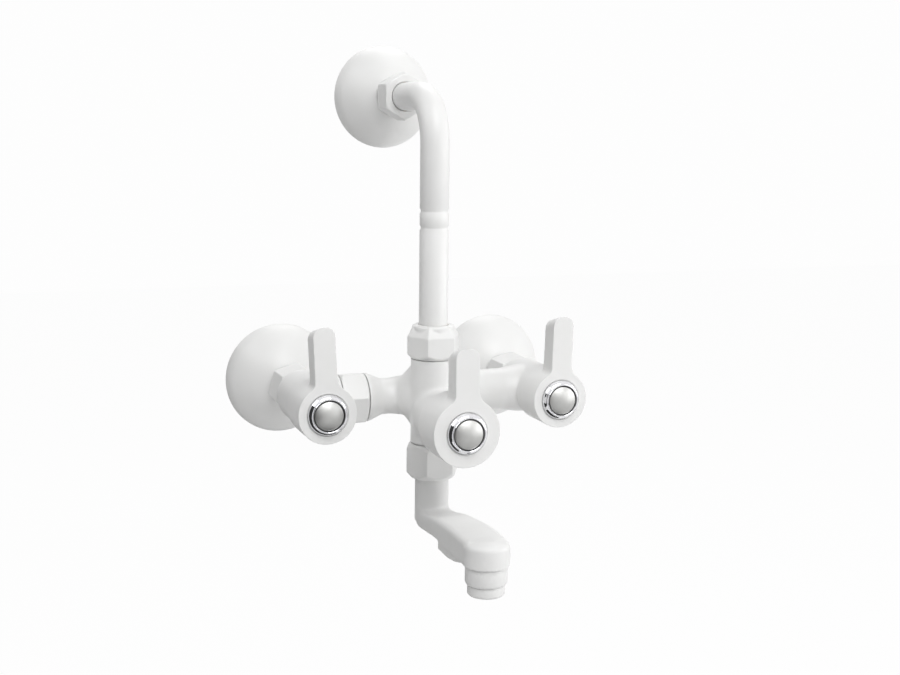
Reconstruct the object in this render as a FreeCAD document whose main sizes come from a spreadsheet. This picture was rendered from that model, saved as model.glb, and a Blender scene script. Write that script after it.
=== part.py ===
import FreeCAD, Part
import Sketcher
import math
import os

# Wall mixer with three lever handles, a swivel spout below and a bend pipe to a third wall point above.
# Frame: +X to the right, +Y into the wall, +Z up. The wall is the plane Y = 0 and both inlets are at Z = 0.
# The spout, the centre handle and the bend pipe are at X = 0. All sizes are millimetres.

# The driving sizes. Distances called reach are measured out from the wall. Those called ahead, behind,
# inset or gap are measured from the axis that carries the piece.
SIZES = {
    # where the axes lie
    "inlet_spacing": 150.0,
    "outlet_shift": 3.4,
    "top_rise": 186.0,
    "riser_reach": 104.3,
    "arm_reach": 79.0,
    "centre_drop": 6.8,
    "outlet_reach": 196.8,
    # clearances
    "running_gap": 0.05,
    "thread_gap": 0.1,
    "seam": 0.3,
    "guide_gap": 0.3,
    "socket_gap": 0.08,
    "ferrule_play": 0.5,
    "cut_past": 1.0,
    # connection to the wall
    "wall_thread_radius": 10.48,
    "wall_thread_length": 15.0,
    "shank_radius": 10.3,
    "leg_bore": 7.0,
    # side wall flanges
    "flange_radius": 36.7,
    "flange_rim": 7.0,
    "flange_draft": 2.3,
    "flange_height": 28.0,
    "flange_neck": 13.2,
    "flange_swell": 60.0,
    "flange_wall": 2.0,
    "flange_guide": 3.0,
    "flange_neck_wall": 1.0,
    # top wall flange
    "top_flange_radius": 33.6,
    "top_flange_height": 27.0,
    # side inlet unions
    "inlet_nut_back": 33.0,
    "inlet_nut_front": 57.0,
    "inlet_nut_corner": 16.2,
    "inlet_nut_turn": 15.0,
    "nut_lip": 3.5,
    "nut_chamfer": 1.6,
    "collar_radius": 12.4,
    "collar_length": 4.0,
    "washer_thickness": 2.0,
    "tail_radius": 12.9,
    "union_nut_turn": 21.0,
    "top_nut_turn": 30.0,
    # valve bodies at the sides
    "valve_radius_back": 15.4,
    "valve_radius": 16.4,
    "valve_ahead": 15.5,
    "valve_neck_radius": 14.4,
    "valve_neck_length": 8.0,
    "valve_shoulder_length": 6.0,
    "chamber_radius": 11.1,
    "side_seat_behind": 5.0,
    "seat_bore": 5.0,
    "seat_wall": 6.0,
    "port_overlap": 2.0,
    # left arm union
    "union_face_inset": 34.8,
    "union_face_radius": 15.2,
    "union_nut_length": 16.6,
    "union_nut_corner": 17.4,
    "union_tail_length": 8.7,
    "port_depth": 8.0,
    # mixer body
    "arm_lip": 2.0,
    "arm_waist_radius": 11.4,
    "arm_taper_length": 10.8,
    "arm_waist_length": 9.0,
    "arm_flare_radius": 15.0,
    "arm_flare_reach": 6.0,
    "right_arm_root_radius": 13.4,
    "right_arm_root_reach": 21.0,
    "right_arm_swell_inset": 23.0,
    "right_arm_end_inset": 11.5,
    "right_arm_end_radius": 15.3,
    "barrel_radius": 16.4,
    "barrel_back_ahead": 5.0,
    "barrel_root_radius": 8.5,
    "barrel_shoulder_behind": 6.3,
    "barrel_shoulder_length": 14.0,
    "barrel_end_ahead": 32.2,
    "centre_seat_behind": 0.3,
    "column_radius": 13.6,
    "column_top": 27.5,
    "column_bottom": 25.0,
    "column_tail_length": 12.5,
    "column_tail_radius": 12.4,
    "column_bore": 7.3,
    "column_throat": 5.3,
    # nuts on the column
    "column_nut_corner": 16.8,
    "upper_nut_top": 49.5,
    "upper_nut_cone": 7.0,
    "upper_nut_crown": 14.2,
    "upper_nut_mouth": 11.6,
    "lower_nut_bottom": 47.2,
    "lower_nut_cone": 4.1,
    "lower_nut_crown": 13.2,
    "nut_base_chamfer": 3.2,
    "nut_mouth_depth": 2.0,
    # bend pipe
    "pipe_radius": 8.9,
    "pipe_wall": 1.6,
    "pipe_bend": 28.0,
    "groove_depth": 0.7,
    "groove_height": 2.4,
    "groove_low": 107.5,
    "groove_spacing": 10.0,
    "ferrule_flange": 4.0,
    "ferrule_wall": 1.9,
    # top union
    "top_nut_back": 30.6,
    "top_nut_front": 49.0,
    "top_nut_corner": 15.2,
    "top_leg_end": 38.0,
    "top_chamber": 11.2,
    # spout
    "stem_radius": 9.9,
    "stem_clearance": 1.0,
    "stem_wall": 3.0,
    "tube_radius": 10.6,
    "tube_wall": 3.0,
    "tube_foot": 3.0,
    "o_ring_section": 1.5,
    "o_ring_groove": 1.8,
    "o_ring_depth": 4.0,
    "o_ring_pitch": 7.0,
    "split_ring_height": 2.6,
    "split_ring_gap": 3.0,
    "ring_groove_depth": 1.0,
    "glide_thickness": 1.2,
    "arm_underside": 77.0,
    "arm_root_rise": 6.0,
    "arm_shoulder_rise": 4.0,
    "arm_top_inner": 68.0,
    "arm_top_outer": 60.5,
    "arm_rise_start": 12.0,
    "arm_rise_end_gap": 9.9,
    "head_radius": 13.4,
    "head_bottom": 74.8,
    "paddle_start": 24.0,
    "paddle_end_gap": 30.5,
    "head_overhang": 1.0,
    "boss_length": 32.0,
    "boss_end_gap": 19.5,
    "boss_width": 17.0,
    "boss_bottom": 80.3,
    "boss_chamfer": 2.0,
    "boss_root": 2.0,
    "channel_radius": 2.8,
    "channel_level": 72.5,
    "outlet_bore": 9.4,
    "outlet_bore_top": 66.5,
    # outlet
    "outlet_collar_radius": 12.1,
    "outlet_collar_bottom": 85.8,
    "outlet_edge": 0.6,
    "outlet_edge_height": 1.6,
    "outlet_spigot_length": 7.0,
    "aerator_radius": 10.7,
    "aerator_bottom": 92.4,
    "aerator_wall": 1.4,
    "aerator_edge": 1.0,
    "insert_thickness": 5.0,
    "insert_hole_radius": 0.7,
    "insert_hole_pitch": 2.6,
    # handles
    "side_front_ahead": 43.4,
    "side_cup_radius": 17.9,
    "side_lever_width": 13.6,
    "side_lever_length": 52.2,
    "left_lean": 2.5,
    "right_lean": -1.5,
    "centre_front_ahead": 60.1,
    "centre_cup_radius": 20.6,
    "centre_lever_width": 14.8,
    "centre_lever_length": 49.6,
    "cup_depth": 27.4,
    "cup_wall": 2.0,
    "cup_face": 6.4,
    "lever_thickness": 13.0,
    "lever_corner": 5.6,
    "lever_blend": 8.0,
    "hub_radius": 6.6,
    "hub_depth": 10.4,
    "recess_radius": 10.2,
    "recess_depth": 3.2,
    "hub_floor": 1.0,
    # bezel ring and cap
    "bezel_radius": 11.6,
    "bezel_height": 2.9,
    "bezel_bore": 8.95,
    "bezel_edge": 0.8,
    "cap_radius": 8.85,
    "cap_crown": 2.2,
    "cap_skirt": 4.0,
    "cap_wall": 1.0,
    # handle screw
    "screw_radius": 1.9,
    "screw_length": 12.0,
    "screw_head_radius": 3.6,
    "screw_head_height": 1.8,
    "screw_slot": 0.9,
    # valve cartridge
    "spindle_radius": 4.0,
    "spindle_tip_radius": 3.6,
    "spindle_tip_length": 5.0,
    "foot_radius": 6.4,
    "foot_height": 3.0,
    "disc_radius": 7.4,
    "disc_thickness": 3.0,
    "disc_port": 2.0,
    "disc_port_reach": 3.7,
    "seal_thickness": 3.0,
    "cage_bore": 7.7,
    "cage_radius": 9.2,
    "cage_lift": 1.5,
    "window_width": 7.0,
    "bonnet_thread_radius": 11.0,
    "bonnet_thread_length": 12.0,
    "bonnet_collar_radius": 12.6,
    "bonnet_collar_height": 3.4,
    "bonnet_neck_radius": 6.8,
}

doc = FreeCAD.newDocument("wall_mixer")
sheet = doc.addObject("Spreadsheet::Sheet", "sizes")
for row, (alias, number) in enumerate(SIZES.items(), start=1):
    sheet.set(f"A{row}", alias)
    sheet.set(f"B{row}", str(number))
    sheet.setAlias(f"B{row}", alias)
doc.recompute()


class Size:
    """A size of the sheet, or one worked out from such sizes: its number and the expression that gives it."""

    def __init__(self, number, text):
        self.number = number
        self.text = text

    def combined(self, other, sign, number):
        text = other.text if isinstance(other, Size) else repr(other)
        return Size(number, f"({self.text} {sign} {text})")

    def __add__(self, other):
        return self.combined(other, "+", self.number + plain(other))

    def __sub__(self, other):
        return self.combined(other, "-", self.number - plain(other))

    def __mul__(self, other):
        return self.combined(other, "*", self.number * plain(other))

    def __truediv__(self, other):
        return self.combined(other, "/", self.number / plain(other))

    def __neg__(self):
        return Size(-self.number, f"(-1 * {self.text})")

    def root(self):
        return Size(math.sqrt(self.number), f"sqrt({self.text})")


def plain(value):
    return value.number if isinstance(value, Size) else value


def size(alias):
    return Size(float(sheet.get(alias)), f"sizes.{alias}")


NOTHING = size("inlet_spacing") * 0
ALONG_Z = FreeCAD.Rotation()
OUT_OF_WALL = FreeCAD.Rotation(FreeCAD.Vector(1, 0, 0), 90)

left_x = -(size("inlet_spacing") / 2 - size("outlet_shift"))
right_x = size("inlet_spacing") / 2 + size("outlet_shift")
running_gap = size("running_gap")
thread_gap = size("thread_gap")
seam = size("seam")
past = size("cut_past")


def new_body(name, x=NOTHING, y=NOTHING, z=NOTHING, turn=OUT_OF_WALL):
    body = doc.addObject("PartDesign::Body", name)
    body.Label = name
    body.Placement = FreeCAD.Placement(FreeCAD.Vector(x.number, y.number, z.number), turn)
    body.setExpression("Placement.Base.x", x.text)
    body.setExpression("Placement.Base.y", y.text)
    body.setExpression("Placement.Base.z", z.text)
    return body


def new_sketch(body, plane, offset=(NOTHING, NOTHING, NOTHING)):
    sketch = body.newObject("Sketcher::SketchObject", f"{body.Name}_sketch")
    origin_plane = [item for item in body.Origin.OriginFeatures if item.Role == plane][0]
    sketch.AttachmentSupport = [(origin_plane, "")]
    sketch.MapMode = "FlatFace"
    for letter, shift in zip("xyz", offset):
        if shift is not NOTHING:
            sketch.setExpression(f"AttachmentOffset.Base.{letter}", shift.text)
    return sketch


def pin(sketch, line, end, letter, value):
    """Holds one end of a line at its distance from a sketch axis."""
    if value is NOTHING:
        sketch.addConstraint(Sketcher.Constraint("PointOnObject", line, end, -2 if letter == "X" else -1))
        return
    index = sketch.addConstraint(Sketcher.Constraint(f"Distance{letter}", -1, 1, line, end, value.number))
    sketch.setExpression(f"Constraints[{index}]", value.text)


def draw_outline(sketch, points):
    """Draws a closed outline. A point is (across, along), or (across, along, radius, turn) where the stretch
    to the next point is an arc: turn is 1 for an arc that bends left and -1 for one that bends right."""
    first = sketch.GeometryCount
    count = len(points)
    ends = []
    for index, point in enumerate(points):
        start = FreeCAD.Vector(point[0].number, point[1].number, 0)
        following = points[(index + 1) % count]
        stop = FreeCAD.Vector(following[0].number, following[1].number, 0)
        if len(point) == 2:
            sketch.addGeometry(Part.LineSegment(start, stop), False)
            ends.append((1, 2))
            continue
        radius, turn = point[2], point[3]
        chord = stop - start
        rise = math.sqrt(max(radius.number ** 2 - (chord.Length / 2) ** 2, 0))
        left = FreeCAD.Vector(-chord.y, chord.x, 0).normalize()
        middle = (start + stop) / 2 + left * (rise * turn)
        angles = [math.atan2(end.y - middle.y, end.x - middle.x) for end in (start, stop)]
        if turn < 0:
            angles.reverse()
        circle = Part.Circle(middle, FreeCAD.Vector(0, 0, 1), radius.number)
        index = sketch.addGeometry(Part.ArcOfCircle(circle, angles[0], angles[1]), False)
        held = sketch.addConstraint(Sketcher.Constraint("Radius", index, radius.number))
        sketch.setExpression(f"Constraints[{held}]", radius.text)
        ends.append((1, 2) if turn > 0 else (2, 1))
    for index in range(count):
        following = (index + 1) % count
        sketch.addConstraint(Sketcher.Constraint("Coincident", first + index, ends[index][1],
                                                 first + following, ends[following][0]))
    for index, point in enumerate(points):
        pin(sketch, first + index, ends[index][0], "X", point[0])
        pin(sketch, first + index, ends[index][0], "Y", point[1])


def draw_circle(sketch, across, along, radius):
    index = sketch.addGeometry(Part.Circle(FreeCAD.Vector(across.number, along.number, 0),
                                           FreeCAD.Vector(0, 0, 1), radius.number), False)
    pin(sketch, index, 3, "X", across)
    pin(sketch, index, 3, "Y", along)
    held = sketch.addConstraint(Sketcher.Constraint("Radius", index, radius.number))
    sketch.setExpression(f"Constraints[{held}]", radius.text)


def turned(body, points, cut=False, plane="XZ_Plane", offset=(NOTHING, NOTHING, NOTHING), axis="V_Axis"):
    """Turns an outline about an axis of its sketch, to add material or to cut it away."""
    sketch = new_sketch(body, plane, offset)
    draw_outline(sketch, points)
    feature = body.newObject("PartDesign::Groove" if cut else "PartDesign::Revolution", f"{body.Name}_turned")
    feature.Profile = sketch
    feature.ReferenceAxis = (sketch, [axis])
    feature.Angle = 360
    doc.recompute()
    return feature


def extruded(body, sketch, length, cut=False, reverse=False, both_ways=False):
    feature = body.newObject("PartDesign::Pocket" if cut else "PartDesign::Pad", f"{body.Name}_extruded")
    feature.Profile = sketch
    feature.Length = length.number
    feature.setExpression("Length", length.text)
    feature.Reversed = reverse
    feature.Midplane = both_ways
    doc.recompute()
    return feature


def hexagon(sketch, corner, turn_degrees):
    points = []
    for index in range(6):
        angle = math.radians(turn_degrees + 60 * index)
        points.append((corner * math.cos(angle), corner * math.sin(angle)))
    draw_outline(sketch, points)


def ring_points(inner, outer, low, high):
    return [(inner, low), (outer, low), (outer, high), (inner, high)]


# Wall flanges: thin moulded bells that slide along the leg and cover the hole in the wall.
def wall_flange(name, x, z, radius, height):
    body = new_body(name, x=x, z=z)
    wall = size("flange_wall")
    rim = size("flange_rim")
    neck = size("flange_neck")
    shoulder = radius - size("flange_draft")
    hole = size("wall_thread_radius") + size("guide_gap")
    swell = size("flange_swell")
    guide_level = height - size("flange_guide")
    turned(body, [
        (hole, height), (neck, height, swell, -1), (shoulder, rim), (radius, NOTHING),
        (radius - wall, NOTHING),
        (shoulder - wall, rim - wall, swell - wall, 1), (neck - size("flange_neck_wall"), guide_level),
        (hole, guide_level)])
    return body


top_z = size("top_rise")
wall_flange("left_wall_flange", left_x, NOTHING, size("flange_radius"), size("flange_height"))
wall_flange("right_wall_flange", right_x, NOTHING, size("flange_radius"), size("flange_height"))
wall_flange("top_wall_flange", NOTHING, top_z, size("top_flange_radius"), size("top_flange_height"))


# Hexagonal nuts: a prism with coned ends, hollowed for the parts that it pulls together.
def hex_nut(name, corner, low, high, low_cone, high_cone, hollow, angle=NOTHING, **place):
    body = new_body(name, **place)
    sketch = new_sketch(body, "XY_Plane", (NOTHING, NOTHING, low))
    hexagon(sketch, corner, angle.number)
    extruded(body, sketch, high - low)
    beyond = corner + past
    crown, drop = low_cone
    rise = drop * (beyond - crown) / (corner - crown)
    turned(body, [(crown, low), (beyond, low), (beyond, low + rise)], cut=True)
    crown, drop = high_cone
    rise = drop * (beyond - crown) / (corner - crown)
    turned(body, [(crown, high), (beyond, high - rise), (beyond, high)], cut=True)
    turned(body, hollow, cut=True)
    return body


# Side inlets: a threaded leg in the wall, drawn to the valve body by a nut over the leg's collar.
nut_back = size("inlet_nut_back")
nut_front = size("inlet_nut_front")
collar_back = nut_back + size("nut_lip")
collar_front = collar_back + size("collar_length")
tail_end = collar_front + size("washer_thickness")
nut_thread = size("tail_radius") + thread_gap
leg_radius = size("wall_thread_radius")
leg_hole = leg_radius + thread_gap
shank = size("shank_radius")
wall_end = -size("wall_thread_length")
bore = size("leg_bore")

for side, x in (("left", left_x), ("right", right_x)):
    leg = new_body(f"{side}_inlet_leg", x=x)
    turned(leg, [
        (bore, wall_end), (leg_radius, wall_end), (leg_radius, NOTHING), (shank, NOTHING),
        (shank, collar_back), (size("collar_radius"), collar_back), (size("collar_radius"), collar_front),
        (bore, collar_front)])
    washer = new_body(f"{side}_inlet_washer", x=x)
    turned(washer, ring_points(bore, size("collar_radius"), collar_front, tail_end))
    cone = (size("inlet_nut_corner") - size("nut_chamfer"), size("nut_chamfer"))
    hex_nut(f"{side}_inlet_nut", size("inlet_nut_corner"), nut_back, nut_front, cone, cone, [
        (NOTHING, nut_back - past), (leg_hole, nut_back - past), (leg_hole, collar_back),
        (nut_thread, collar_back), (nut_thread, nut_front + past), (NOTHING, nut_front + past)],
        angle=size("inlet_nut_turn"), x=x)


# Valve bodies: a tail for the inlet nut, a round housing and a neck that the handle's cup covers.
shoulder_back = nut_front + seam
valve_end = size("arm_reach") + size("valve_ahead")
side_seat = size("arm_reach") - size("side_seat_behind")
neck_end = valve_end + size("valve_neck_length")


def valve_housing(body, offset):
    turned(body, [
        (NOTHING, tail_end), (size("tail_radius"), tail_end), (size("tail_radius"), shoulder_back),
        (size("valve_radius_back"), shoulder_back),
        (size("valve_radius"), shoulder_back + size("valve_shoulder_length")),
        (size("valve_radius"), valve_end), (size("valve_neck_radius"), valve_end),
        (size("valve_neck_radius"), neck_end), (NOTHING, neck_end)], offset=offset)


def valve_waterway(body, offset):
    seat_back = side_seat - size("seat_wall")
    turned(body, [
        (NOTHING, tail_end - past), (bore, tail_end - past), (bore, seat_back),
        (size("seat_bore"), seat_back), (size("seat_bore"), side_seat), (size("chamber_radius"), side_seat),
        (size("chamber_radius"), neck_end + past), (NOTHING, neck_end + past)], cut=True, offset=offset)


left_valve = new_body("left_valve_body", x=left_x)
valve_housing(left_valve, (NOTHING, NOTHING, NOTHING))
union_face = -left_x - size("union_face_inset")
union_nut_back = union_face + size("union_nut_length")
union_collar_back = union_nut_back - size("nut_lip")
tail_start = union_face + size("union_tail_length")
union_collar_front = tail_start + size("washer_thickness")
port_mouth = -left_x - union_nut_back - seam
arm_axis = (NOTHING, size("arm_reach"), NOTHING)
port_root = port_mouth - size("port_depth")
turned(left_valve, [
    (NOTHING, NOTHING), (port_mouth, NOTHING), (port_mouth, size("union_face_radius")),
    (NOTHING, size("union_face_radius"))], offset=arm_axis, axis="H_Axis")
valve_waterway(left_valve, (NOTHING, NOTHING, NOTHING))
port_start = size("chamber_radius") - size("port_overlap")
turned(left_valve, [
    (port_start, NOTHING), (port_mouth + past, NOTHING), (port_mouth + past, leg_hole),
    (port_root, leg_hole), (port_root, bore), (port_start, bore)],
    cut=True, offset=arm_axis, axis="H_Axis")

# Union between the left valve body and the left arm: a screwed-in tail, a washer and a nut.
ALONG_X = FreeCAD.Rotation(FreeCAD.Vector(0, 1, 0), 90)
arm_y = -size("arm_reach")
union_tail = new_body("union_tail", y=arm_y, turn=ALONG_X)
turned(union_tail, [
    (bore, left_x + port_root), (leg_radius, left_x + port_root), (leg_radius, -union_collar_back),
    (size("collar_radius"), -union_collar_back), (size("collar_radius"), -union_collar_front),
    (bore, -union_collar_front)])
union_washer = new_body("union_washer", y=arm_y, turn=ALONG_X)
turned(union_washer, ring_points(bore, size("collar_radius"), -union_collar_front, -tail_start))
union_front = -(union_face + seam)
cone = (size("union_face_radius"), size("nut_chamfer"))
hex_nut("union_nut", size("union_nut_corner"), -union_nut_back, union_front, cone, cone, [
    (NOTHING, -union_nut_back - past), (leg_hole, -union_nut_back - past), (leg_hole, -union_collar_back),
    (nut_thread, -union_collar_back), (nut_thread, union_front + past), (NOTHING, union_front + past)],
    angle=size("union_nut_turn"), y=arm_y, turn=ALONG_X)

# Mixer body: one casting with both arms, the right valve housing, the diverter barrel and the column.
mixer = new_body("mixer_body")
barrel_axis = (NOTHING, NOTHING, size("centre_drop"))
right_axis = (right_x, NOTHING, NOTHING)
riser_reach = size("riser_reach")
barrel_back = size("arm_reach") + size("barrel_back_ahead")
barrel_shoulder = riser_reach - size("barrel_shoulder_behind")
barrel_end = riser_reach + size("barrel_end_ahead")
centre_seat = riser_reach - size("centre_seat_behind")
barrel_neck_end = barrel_end + size("valve_neck_length")
waist = size("arm_waist_radius")
flare = size("arm_flare_radius")
barrel_full = barrel_shoulder + size("barrel_shoulder_length")
turned(mixer, [
    (NOTHING, barrel_back), (size("barrel_root_radius"), barrel_back),
    (size("barrel_root_radius"), barrel_shoulder), (size("barrel_radius"), barrel_full),
    (size("barrel_radius"), barrel_end), (size("valve_neck_radius"), barrel_end),
    (size("valve_neck_radius"), barrel_neck_end),
    (NOTHING, barrel_neck_end)], offset=barrel_axis)
arm_face = -union_face
waist_start = arm_face + size("arm_taper_length")
waist_end = waist_start + size("arm_waist_length")
turned(mixer, [
    (-tail_start, NOTHING), (-tail_start, size("tail_radius")), (arm_face, size("tail_radius")),
    (arm_face, size("union_face_radius")), (arm_face + size("arm_lip"), size("union_face_radius")),
    (waist_start, waist), (waist_end, waist), (-size("arm_flare_reach"), flare), (NOTHING, flare),
    (NOTHING, NOTHING)], offset=arm_axis, axis="H_Axis")
right_arm_swell = right_x - size("right_arm_swell_inset")
right_arm_end = right_x - size("right_arm_end_inset")
turned(mixer, [
    (NOTHING, NOTHING), (NOTHING, flare), (size("arm_flare_reach"), flare),
    (size("right_arm_root_reach"), size("right_arm_root_radius")),
    (right_arm_swell, size("right_arm_root_radius")), (right_arm_end, size("right_arm_end_radius")),
    (right_x, size("right_arm_end_radius")), (right_x, NOTHING)], offset=arm_axis, axis="H_Axis")
valve_housing(mixer, right_axis)
riser_axis = (NOTHING, NOTHING, riser_reach)
column_low = -size("column_bottom")
column_high = size("column_top")
tail = size("column_tail_length")
turned(mixer, [
    (NOTHING, column_low - tail), (size("column_tail_radius"), column_low - tail),
    (size("column_tail_radius"), column_low), (size("column_radius"), column_low),
    (size("column_radius"), column_high), (size("column_tail_radius"), column_high),
    (size("column_tail_radius"), column_high + tail), (NOTHING, column_high + tail)],
    plane="XY_Plane", offset=riser_axis)

# Waterways of the mixer body.
valve_waterway(mixer, right_axis)
turned(mixer, [
    (NOTHING, size("arm_reach") - bore), (size("seat_bore"), size("arm_reach") - bore),
    (size("seat_bore"), centre_seat), (size("chamber_radius"), centre_seat),
    (size("chamber_radius"), barrel_neck_end + past), (NOTHING, barrel_neck_end + past)],
    cut=True, offset=barrel_axis)
right_port = right_x - port_start
turned(mixer, [
    (-tail_start - past, NOTHING), (-tail_start - past, bore), (right_port, bore), (right_port, NOTHING)],
    cut=True, offset=arm_axis, axis="H_Axis")
column_bore = size("column_bore")
column_throat = size("column_throat")
socket_radius = size("stem_radius") + size("socket_gap")
stem_top = -(size("centre_drop") + size("chamber_radius") + size("stem_clearance"))
turned(mixer, [
    (NOTHING, column_low - tail - past), (socket_radius, column_low - tail - past),
    (socket_radius, stem_top + seam), (column_throat, stem_top + seam),
    (column_throat, column_high), (column_bore, column_high), (column_bore, column_high + tail + past),
    (NOTHING, column_high + tail + past)], cut=True, plane="XY_Plane", offset=riser_axis)

# Bend pipe: one tube up from the column and back to the wall, with two grooves rolled round it.
pipe_radius = size("pipe_radius")
pipe_bore = pipe_radius - size("pipe_wall")
riser_y = -riser_reach
washer = size("washer_thickness")
pipe_foot = column_high + tail + washer
pipe_end = size("top_leg_end") + washer
pipe = new_body("bend_pipe", y=riser_y, turn=ALONG_Z)
route = new_sketch(pipe, "YZ_Plane")
bend = size("pipe_bend")
run = riser_reach - pipe_end
height = size("top_rise")
rise_top = FreeCAD.Vector(0, height.number - bend.number, 0)
run_start = FreeCAD.Vector(bend.number, height.number, 0)
centre = FreeCAD.Vector(bend.number, height.number - bend.number, 0)
route.addGeometry(Part.LineSegment(FreeCAD.Vector(0, pipe_foot.number, 0), rise_top), False)
circle = Part.Circle(centre, FreeCAD.Vector(0, 0, 1), bend.number)
route.addGeometry(Part.ArcOfCircle(circle, math.pi / 2, math.pi), False)
route.addGeometry(Part.LineSegment(run_start, FreeCAD.Vector(run.number, height.number, 0)), False)
pin(route, 0, 1, "X", NOTHING)
pin(route, 0, 1, "Y", pipe_foot)
route.addConstraint(Sketcher.Constraint("Vertical", 0))
route.addConstraint(Sketcher.Constraint("Tangent", 0, 2, 1, 2))
route.addConstraint(Sketcher.Constraint("Tangent", 1, 1, 2, 1))
route.addConstraint(Sketcher.Constraint("Horizontal", 2))
pin(route, 2, 2, "X", run)
pin(route, 2, 2, "Y", height)
bend_held = route.addConstraint(Sketcher.Constraint("Radius", 1, bend.number))
route.setExpression(f"Constraints[{bend_held}]", bend.text)
section = new_sketch(pipe, "XY_Plane", (NOTHING, NOTHING, pipe_foot))
draw_circle(section, NOTHING, NOTHING, pipe_radius)
draw_circle(section, NOTHING, NOTHING, pipe_bore)
tube = pipe.newObject("PartDesign::AdditivePipe", "bend_pipe_tube")
tube.Profile = section
tube.Spine = (route, ["Edge1", "Edge2", "Edge3"])
doc.recompute()
groove_depth = size("groove_depth")
groove_spread = size("groove_height") / 2 * ((groove_depth + past) / groove_depth)
for step in range(2):
    level = size("groove_low") + size("groove_spacing") * step
    turned(pipe, [
        (pipe_radius - groove_depth, level), (pipe_radius + past, level - groove_spread),
        (pipe_radius + past, level + groove_spread)], cut=True)

# Upper union on the column: washer, ferrule on the pipe's foot, and nut.
column_nut_corner = size("column_nut_corner")
column_nut_thread = size("column_tail_radius") + thread_gap
column_washer = new_body("upper_washer", y=riser_y, turn=ALONG_Z)
turned(column_washer, ring_points(pipe_bore, size("column_tail_radius"), column_high + tail, pipe_foot))
ferrule_top = size("upper_nut_top") - seam
ferrule_mouth = pipe_radius + size("ferrule_wall")
ferrule_side = size("column_tail_radius") - size("ferrule_play")
ferrule_ledge = pipe_foot + size("ferrule_flange")
ferrule = new_body("upper_ferrule", y=riser_y, turn=ALONG_Z)
turned(ferrule, [
    (pipe_radius + thread_gap, pipe_foot), (ferrule_side, pipe_foot), (ferrule_side, ferrule_ledge),
    (ferrule_mouth, ferrule_ledge), (ferrule_mouth, ferrule_top),
    (pipe_radius + thread_gap, ferrule_top)])
upper_low = column_high + seam
base_cone = (size("column_radius"), size("nut_base_chamfer"))
hex_nut("upper_nut", column_nut_corner, upper_low, size("upper_nut_top"), base_cone,
        (size("upper_nut_crown"), size("upper_nut_cone")), [
            (NOTHING, upper_low - past), (column_nut_thread, upper_low - past),
            (column_nut_thread, ferrule_ledge), (ferrule_mouth + thread_gap, ferrule_ledge),
            (ferrule_mouth + thread_gap, size("upper_nut_top") - size("nut_mouth_depth")),
            (size("upper_nut_mouth"), size("upper_nut_top") + past), (NOTHING, size("upper_nut_top") + past)],
        y=riser_y, turn=ALONG_Z)

# Top union at the wall: leg, washer, ferrule and nut.
top_leg_end = size("top_leg_end")
top_chamber = size("top_chamber")
top_back = size("top_nut_back")
top_front = size("top_nut_front")
top_ledge = pipe_end + size("ferrule_flange")
top_leg = new_body("top_wall_leg", z=top_z)
turned(top_leg, [
    (bore, wall_end), (leg_radius, wall_end), (leg_radius, NOTHING), (shank, NOTHING), (shank, top_leg_end),
    (bore, top_leg_end)])
top_washer = new_body("top_washer", z=top_z)
turned(top_washer, ring_points(pipe_bore, top_chamber - thread_gap, top_leg_end, pipe_end))
top_ferrule = new_body("top_ferrule", z=top_z)
turned(top_ferrule, ring_points(pipe_radius + thread_gap, top_chamber - thread_gap, pipe_end, top_ledge))
cone = (size("top_nut_corner") - size("nut_chamfer"), size("nut_chamfer"))
hex_nut("top_nut", size("top_nut_corner"), top_back, top_front, cone, cone, [
    (NOTHING, top_back - past), (leg_hole, top_back - past), (leg_hole, top_leg_end),
    (top_chamber, top_leg_end), (top_chamber, top_ledge), (pipe_radius + thread_gap, top_ledge),
    (pipe_radius + thread_gap, top_front + past), (NOTHING, top_front + past)],
    angle=size("top_nut_turn"), z=top_z)

# Lower union on the column: the nut carries the spout by a split ring, over a slippery washer.
glide_top = column_low - tail
glide_bottom = glide_top - size("glide_thickness")
ring_top = glide_bottom
ring_bottom = ring_top - size("split_ring_height")
lower_bottom = -size("lower_nut_bottom")
lower_top = column_low - seam
stem = size("stem_radius")
ring_outer = size("column_tail_radius") - size("ferrule_play")
groove_radius = stem - size("ring_groove_depth")
tube_hole = size("tube_radius") + seam
glide = new_body("glide_washer", y=riser_y, turn=ALONG_Z)
turned(glide, ring_points(socket_radius, size("column_tail_radius"), glide_bottom, glide_top))
foot_cone = (size("lower_nut_crown"), size("lower_nut_cone"))
hex_nut("lower_nut", column_nut_corner, lower_bottom, lower_top, foot_cone, base_cone, [
            (NOTHING, lower_bottom - past), (tube_hole, lower_bottom - past), (tube_hole, ring_bottom),
            (column_nut_thread, ring_bottom), (column_nut_thread, lower_top + past),
            (NOTHING, lower_top + past)],
        y=riser_y, turn=ALONG_Z)
split_ring = new_body("spout_split_ring", y=riser_y, turn=ALONG_Z)
turned(split_ring, ring_points(groove_radius + thread_gap, ring_outer, ring_bottom, ring_top))
slit = new_sketch(split_ring, "XY_Plane", (NOTHING, NOTHING, ring_bottom - past))
slit_half = size("split_ring_gap") / 2
draw_outline(slit, [(-slit_half, NOTHING), (slit_half, NOTHING), (slit_half, ring_outer + past),
                    (-slit_half, ring_outer + past)])
extruded(split_ring, slit, size("split_ring_height") + past * 2, cut=True, reverse=True)

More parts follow.
